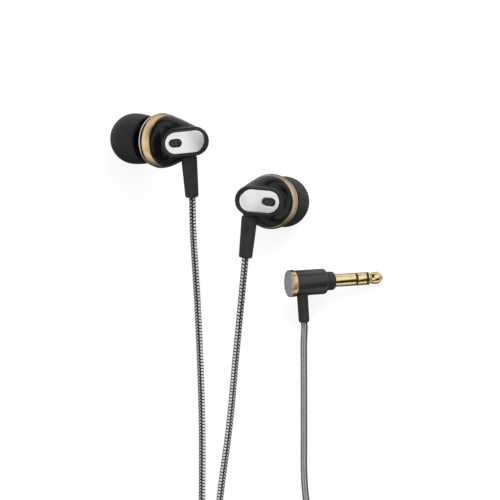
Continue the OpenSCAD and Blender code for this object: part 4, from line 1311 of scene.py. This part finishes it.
# %% Contact pin
PIN_R, PIN_CORE_R, SLEEVE_LEN, GAP_W, RING_LEN, JACK_LEN = 1.75, 1.15, 5.9, 0.6, 2.5, 14.0
RING_AT = SLEEVE_LEN + GAP_W
TIP_AT = RING_AT + RING_LEN + GAP_W
NECK_R = PIN_R - 0.42


def pin_piece(name, profile, solid):
    """A gold contact. Its profile is measured from the pin's root."""
    lifted = [(r, z + JACK_Z, *corner) for r, z, *corner in profile]
    turned_piece(name, lifted, "contact_gold", "gold_contact", solid)


pin_piece("contact_sleeve", [(PIN_CORE_R, 0.0), (PIN_R, 0.0), (PIN_R, SLEEVE_LEN - 0.02, 0.04),
                             (PIN_CORE_R, SLEEVE_LEN)], "jack_sleeve")
pin_piece("contact_ring", [(PIN_CORE_R, RING_AT), (PIN_R, RING_AT + 0.02, 0.04),
                           (PIN_R, RING_AT + RING_LEN - 0.02, 0.04),
                           (PIN_CORE_R, RING_AT + RING_LEN)], "jack_ring")
pin_piece("contact_tip", [(0.0, TIP_AT - 0.5), (PIN_CORE_R, TIP_AT - 0.5), (PIN_CORE_R, TIP_AT),
                          (PIN_R, TIP_AT + 0.02, 0.04), (PIN_R, TIP_AT + 0.35, 0.15),
                          (NECK_R, TIP_AT + 0.7, 0.1), (NECK_R, TIP_AT + 0.95, 0.2),
                          (PIN_R - 0.15, TIP_AT + 1.5, 0.3), (PIN_R - 0.08, TIP_AT + 3.0, 0.2),
                          (PIN_R - 0.3, TIP_AT + 3.4, 0.2), (0.6, JACK_LEN - 0.25, 0.2),
                          (0.35, JACK_LEN, 0.1), (0.0, JACK_LEN)], "jack_tip")
insulators = joined(*[lathe(softened([(1.12, z), (PIN_R - 0.03, z, 0.03),
                                      (PIN_R - 0.03, z + GAP_W, 0.03), (1.12, z + GAP_W)]))
                      for z in (JACK_Z + SLEEVE_LEN, JACK_Z + RING_AT + RING_LEN)])
piece("pin_insulators", insulators, PLUG_PLACE, "ring_insulator", "insulator",
      ["jack_insulators"])

# %% [markdown]
# ## Splitter and ties
# The two branches meet in a turned rubber Y-splitter with a waist, and each coil is held by a
# flat vinyl tie. The ties are bands bent round the turns, with rounded corners and a rib.

# %% Splitter
SPLITTER_R = 2.7
GROOVE_R = SPLITTER_R - 0.22
# Radius against distance from the end where the two branches enter.
SPLITTER_PROFILE = [(0.0, 0.0), (2.2, 0.0, 0.25), (SPLITTER_R, 0.7, 0.4),
                    (SPLITTER_R, 4.6, 0.1), (GROOVE_R, 4.8, 0.1), (GROOVE_R, 5.2, 0.1),
                    (SPLITTER_R, 5.4, 0.1), (SPLITTER_R - 0.1, 7.0, 1.0),
                    (1.75, SPLITTER_LEN - 0.5, 0.4), (1.45, SPLITTER_LEN, 0.2),
                    (0.0, SPLITTER_LEN)]
splitter_place = laid(*SPLITTER_TOP, spin(90, "X"))
piece("y_splitter", lathe(softened(SPLITTER_PROFILE)), splitter_place, "boot_rubber",
      "boot_rubber", ["splitter"])

# %% Ties
TIE_CORNER, TIE_SLACK, TIE_RISE = 0.9, 0.2, 0.6
# Across the band: distance from its middle, height. The rib is the raised part.
TIE_BAND = [(-TIE_W / 2, 0.0), (-TIE_W / 2 + 0.06, 0.10), (-0.5, 0.10), (-0.35, 0.18),
            (0.35, 0.18), (0.5, 0.10), (TIE_W / 2 - 0.06, 0.10), (TIE_W / 2, 0.0),
            (TIE_W / 2, -0.16), (-TIE_W / 2, -0.16)]


def tie_part(layers, turns):
    """A rounded band round the turns, with a raised rib along its middle."""
    half = turns / 2 * PITCH + CORD_D / 2 + TIE_GAP + TIE_SLACK
    high = (layers - 1) * PITCH + CORD_D + TIE_GAP + TIE_RISE
    path = softened([(-half, TIE_SLACK, TIE_CORNER), (half, TIE_SLACK, TIE_CORNER),
                     (half, high, TIE_CORNER), (-half, high, TIE_CORNER)], steps=8)
    middle = sum(path, Vector((0, 0))) / len(path)
    rows = []
    for i, point in enumerate(path):
        ahead = (path[(i + 1) % len(path)] - path[i - 1]).normalized()
        out = Vector((ahead.y, -ahead.x))
        if out.dot(point - middle) < 0:
            out = -out
        rows.append([Vector((point.x + out.x * h, s, point.y + out.y * h))
                     for s, h in TIE_BAND])
    return skin(rows, closed=True)


for name, (centre, _, layers, turns) in COILS.items():
    turn = spin(0 if name == "main" else -90, "Z")
    place = laid(centre.x, centre.y, 0, turn) @ Matrix.Translation((COIL_MID_R * MM, 0, 0))
    piece(name + "_band", tie_part(layers, turns), place, "tie_vinyl", "tie_vinyl",
          [name + "_tie"])
print("ties:", ", ".join(COILS))

# %% [markdown]
# ## Inner pieces
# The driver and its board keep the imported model's shapes. They only take their finishes.

# %% Inner pieces
INNER = {"driver_frame": "driver_steel", "driver_magnet": "magnet_nickel",
         "voice_coil": "copper_turns", "diaphragm": "film", "terminal_board": "solder_mask"}
braid_finish("branch_core", BRANCH_STITCH, LEFT_BANDS)
for node_name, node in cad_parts.items():
    if node.hide_render:
        continue
    kind = node_name.removesuffix("_left").removesuffix("_right")
    finish = PAINTS[INNER.get(kind, "branch_core")]
    node.data.materials.clear()
    node.data.materials.append(finish)
    print("kept solid:", node_name, "in", finish.name)


# %% [markdown]
# ## Cords declared, and the end
# Each cord is named with its real length and thickness, and with the pieces that sit on it, so
# that they can be laid out another way later.


ON_CORD = {
    "left": (left_exit, "fitting", ["splitter", "left_tie"]),
    "right": (right_exit, "object", ["right_tie"]),
    "main": (PATHS["main"][0], "plug", ["plug_end_cap", "plug_cap_ring", "plug_barrel",
                                        "plug_core", "plug_strain_relief", "jack_sleeve",
                                        "jack_ring", "jack_tip", "jack_insulators",
                                        "main_tie"]),
}
for name, (start, far_end, solids) in ON_CORD.items():
    tube = CORDS[name]
    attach(tube, "root")
    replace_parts(tube, name + "_cord", name + "_coil", name + "_tail")
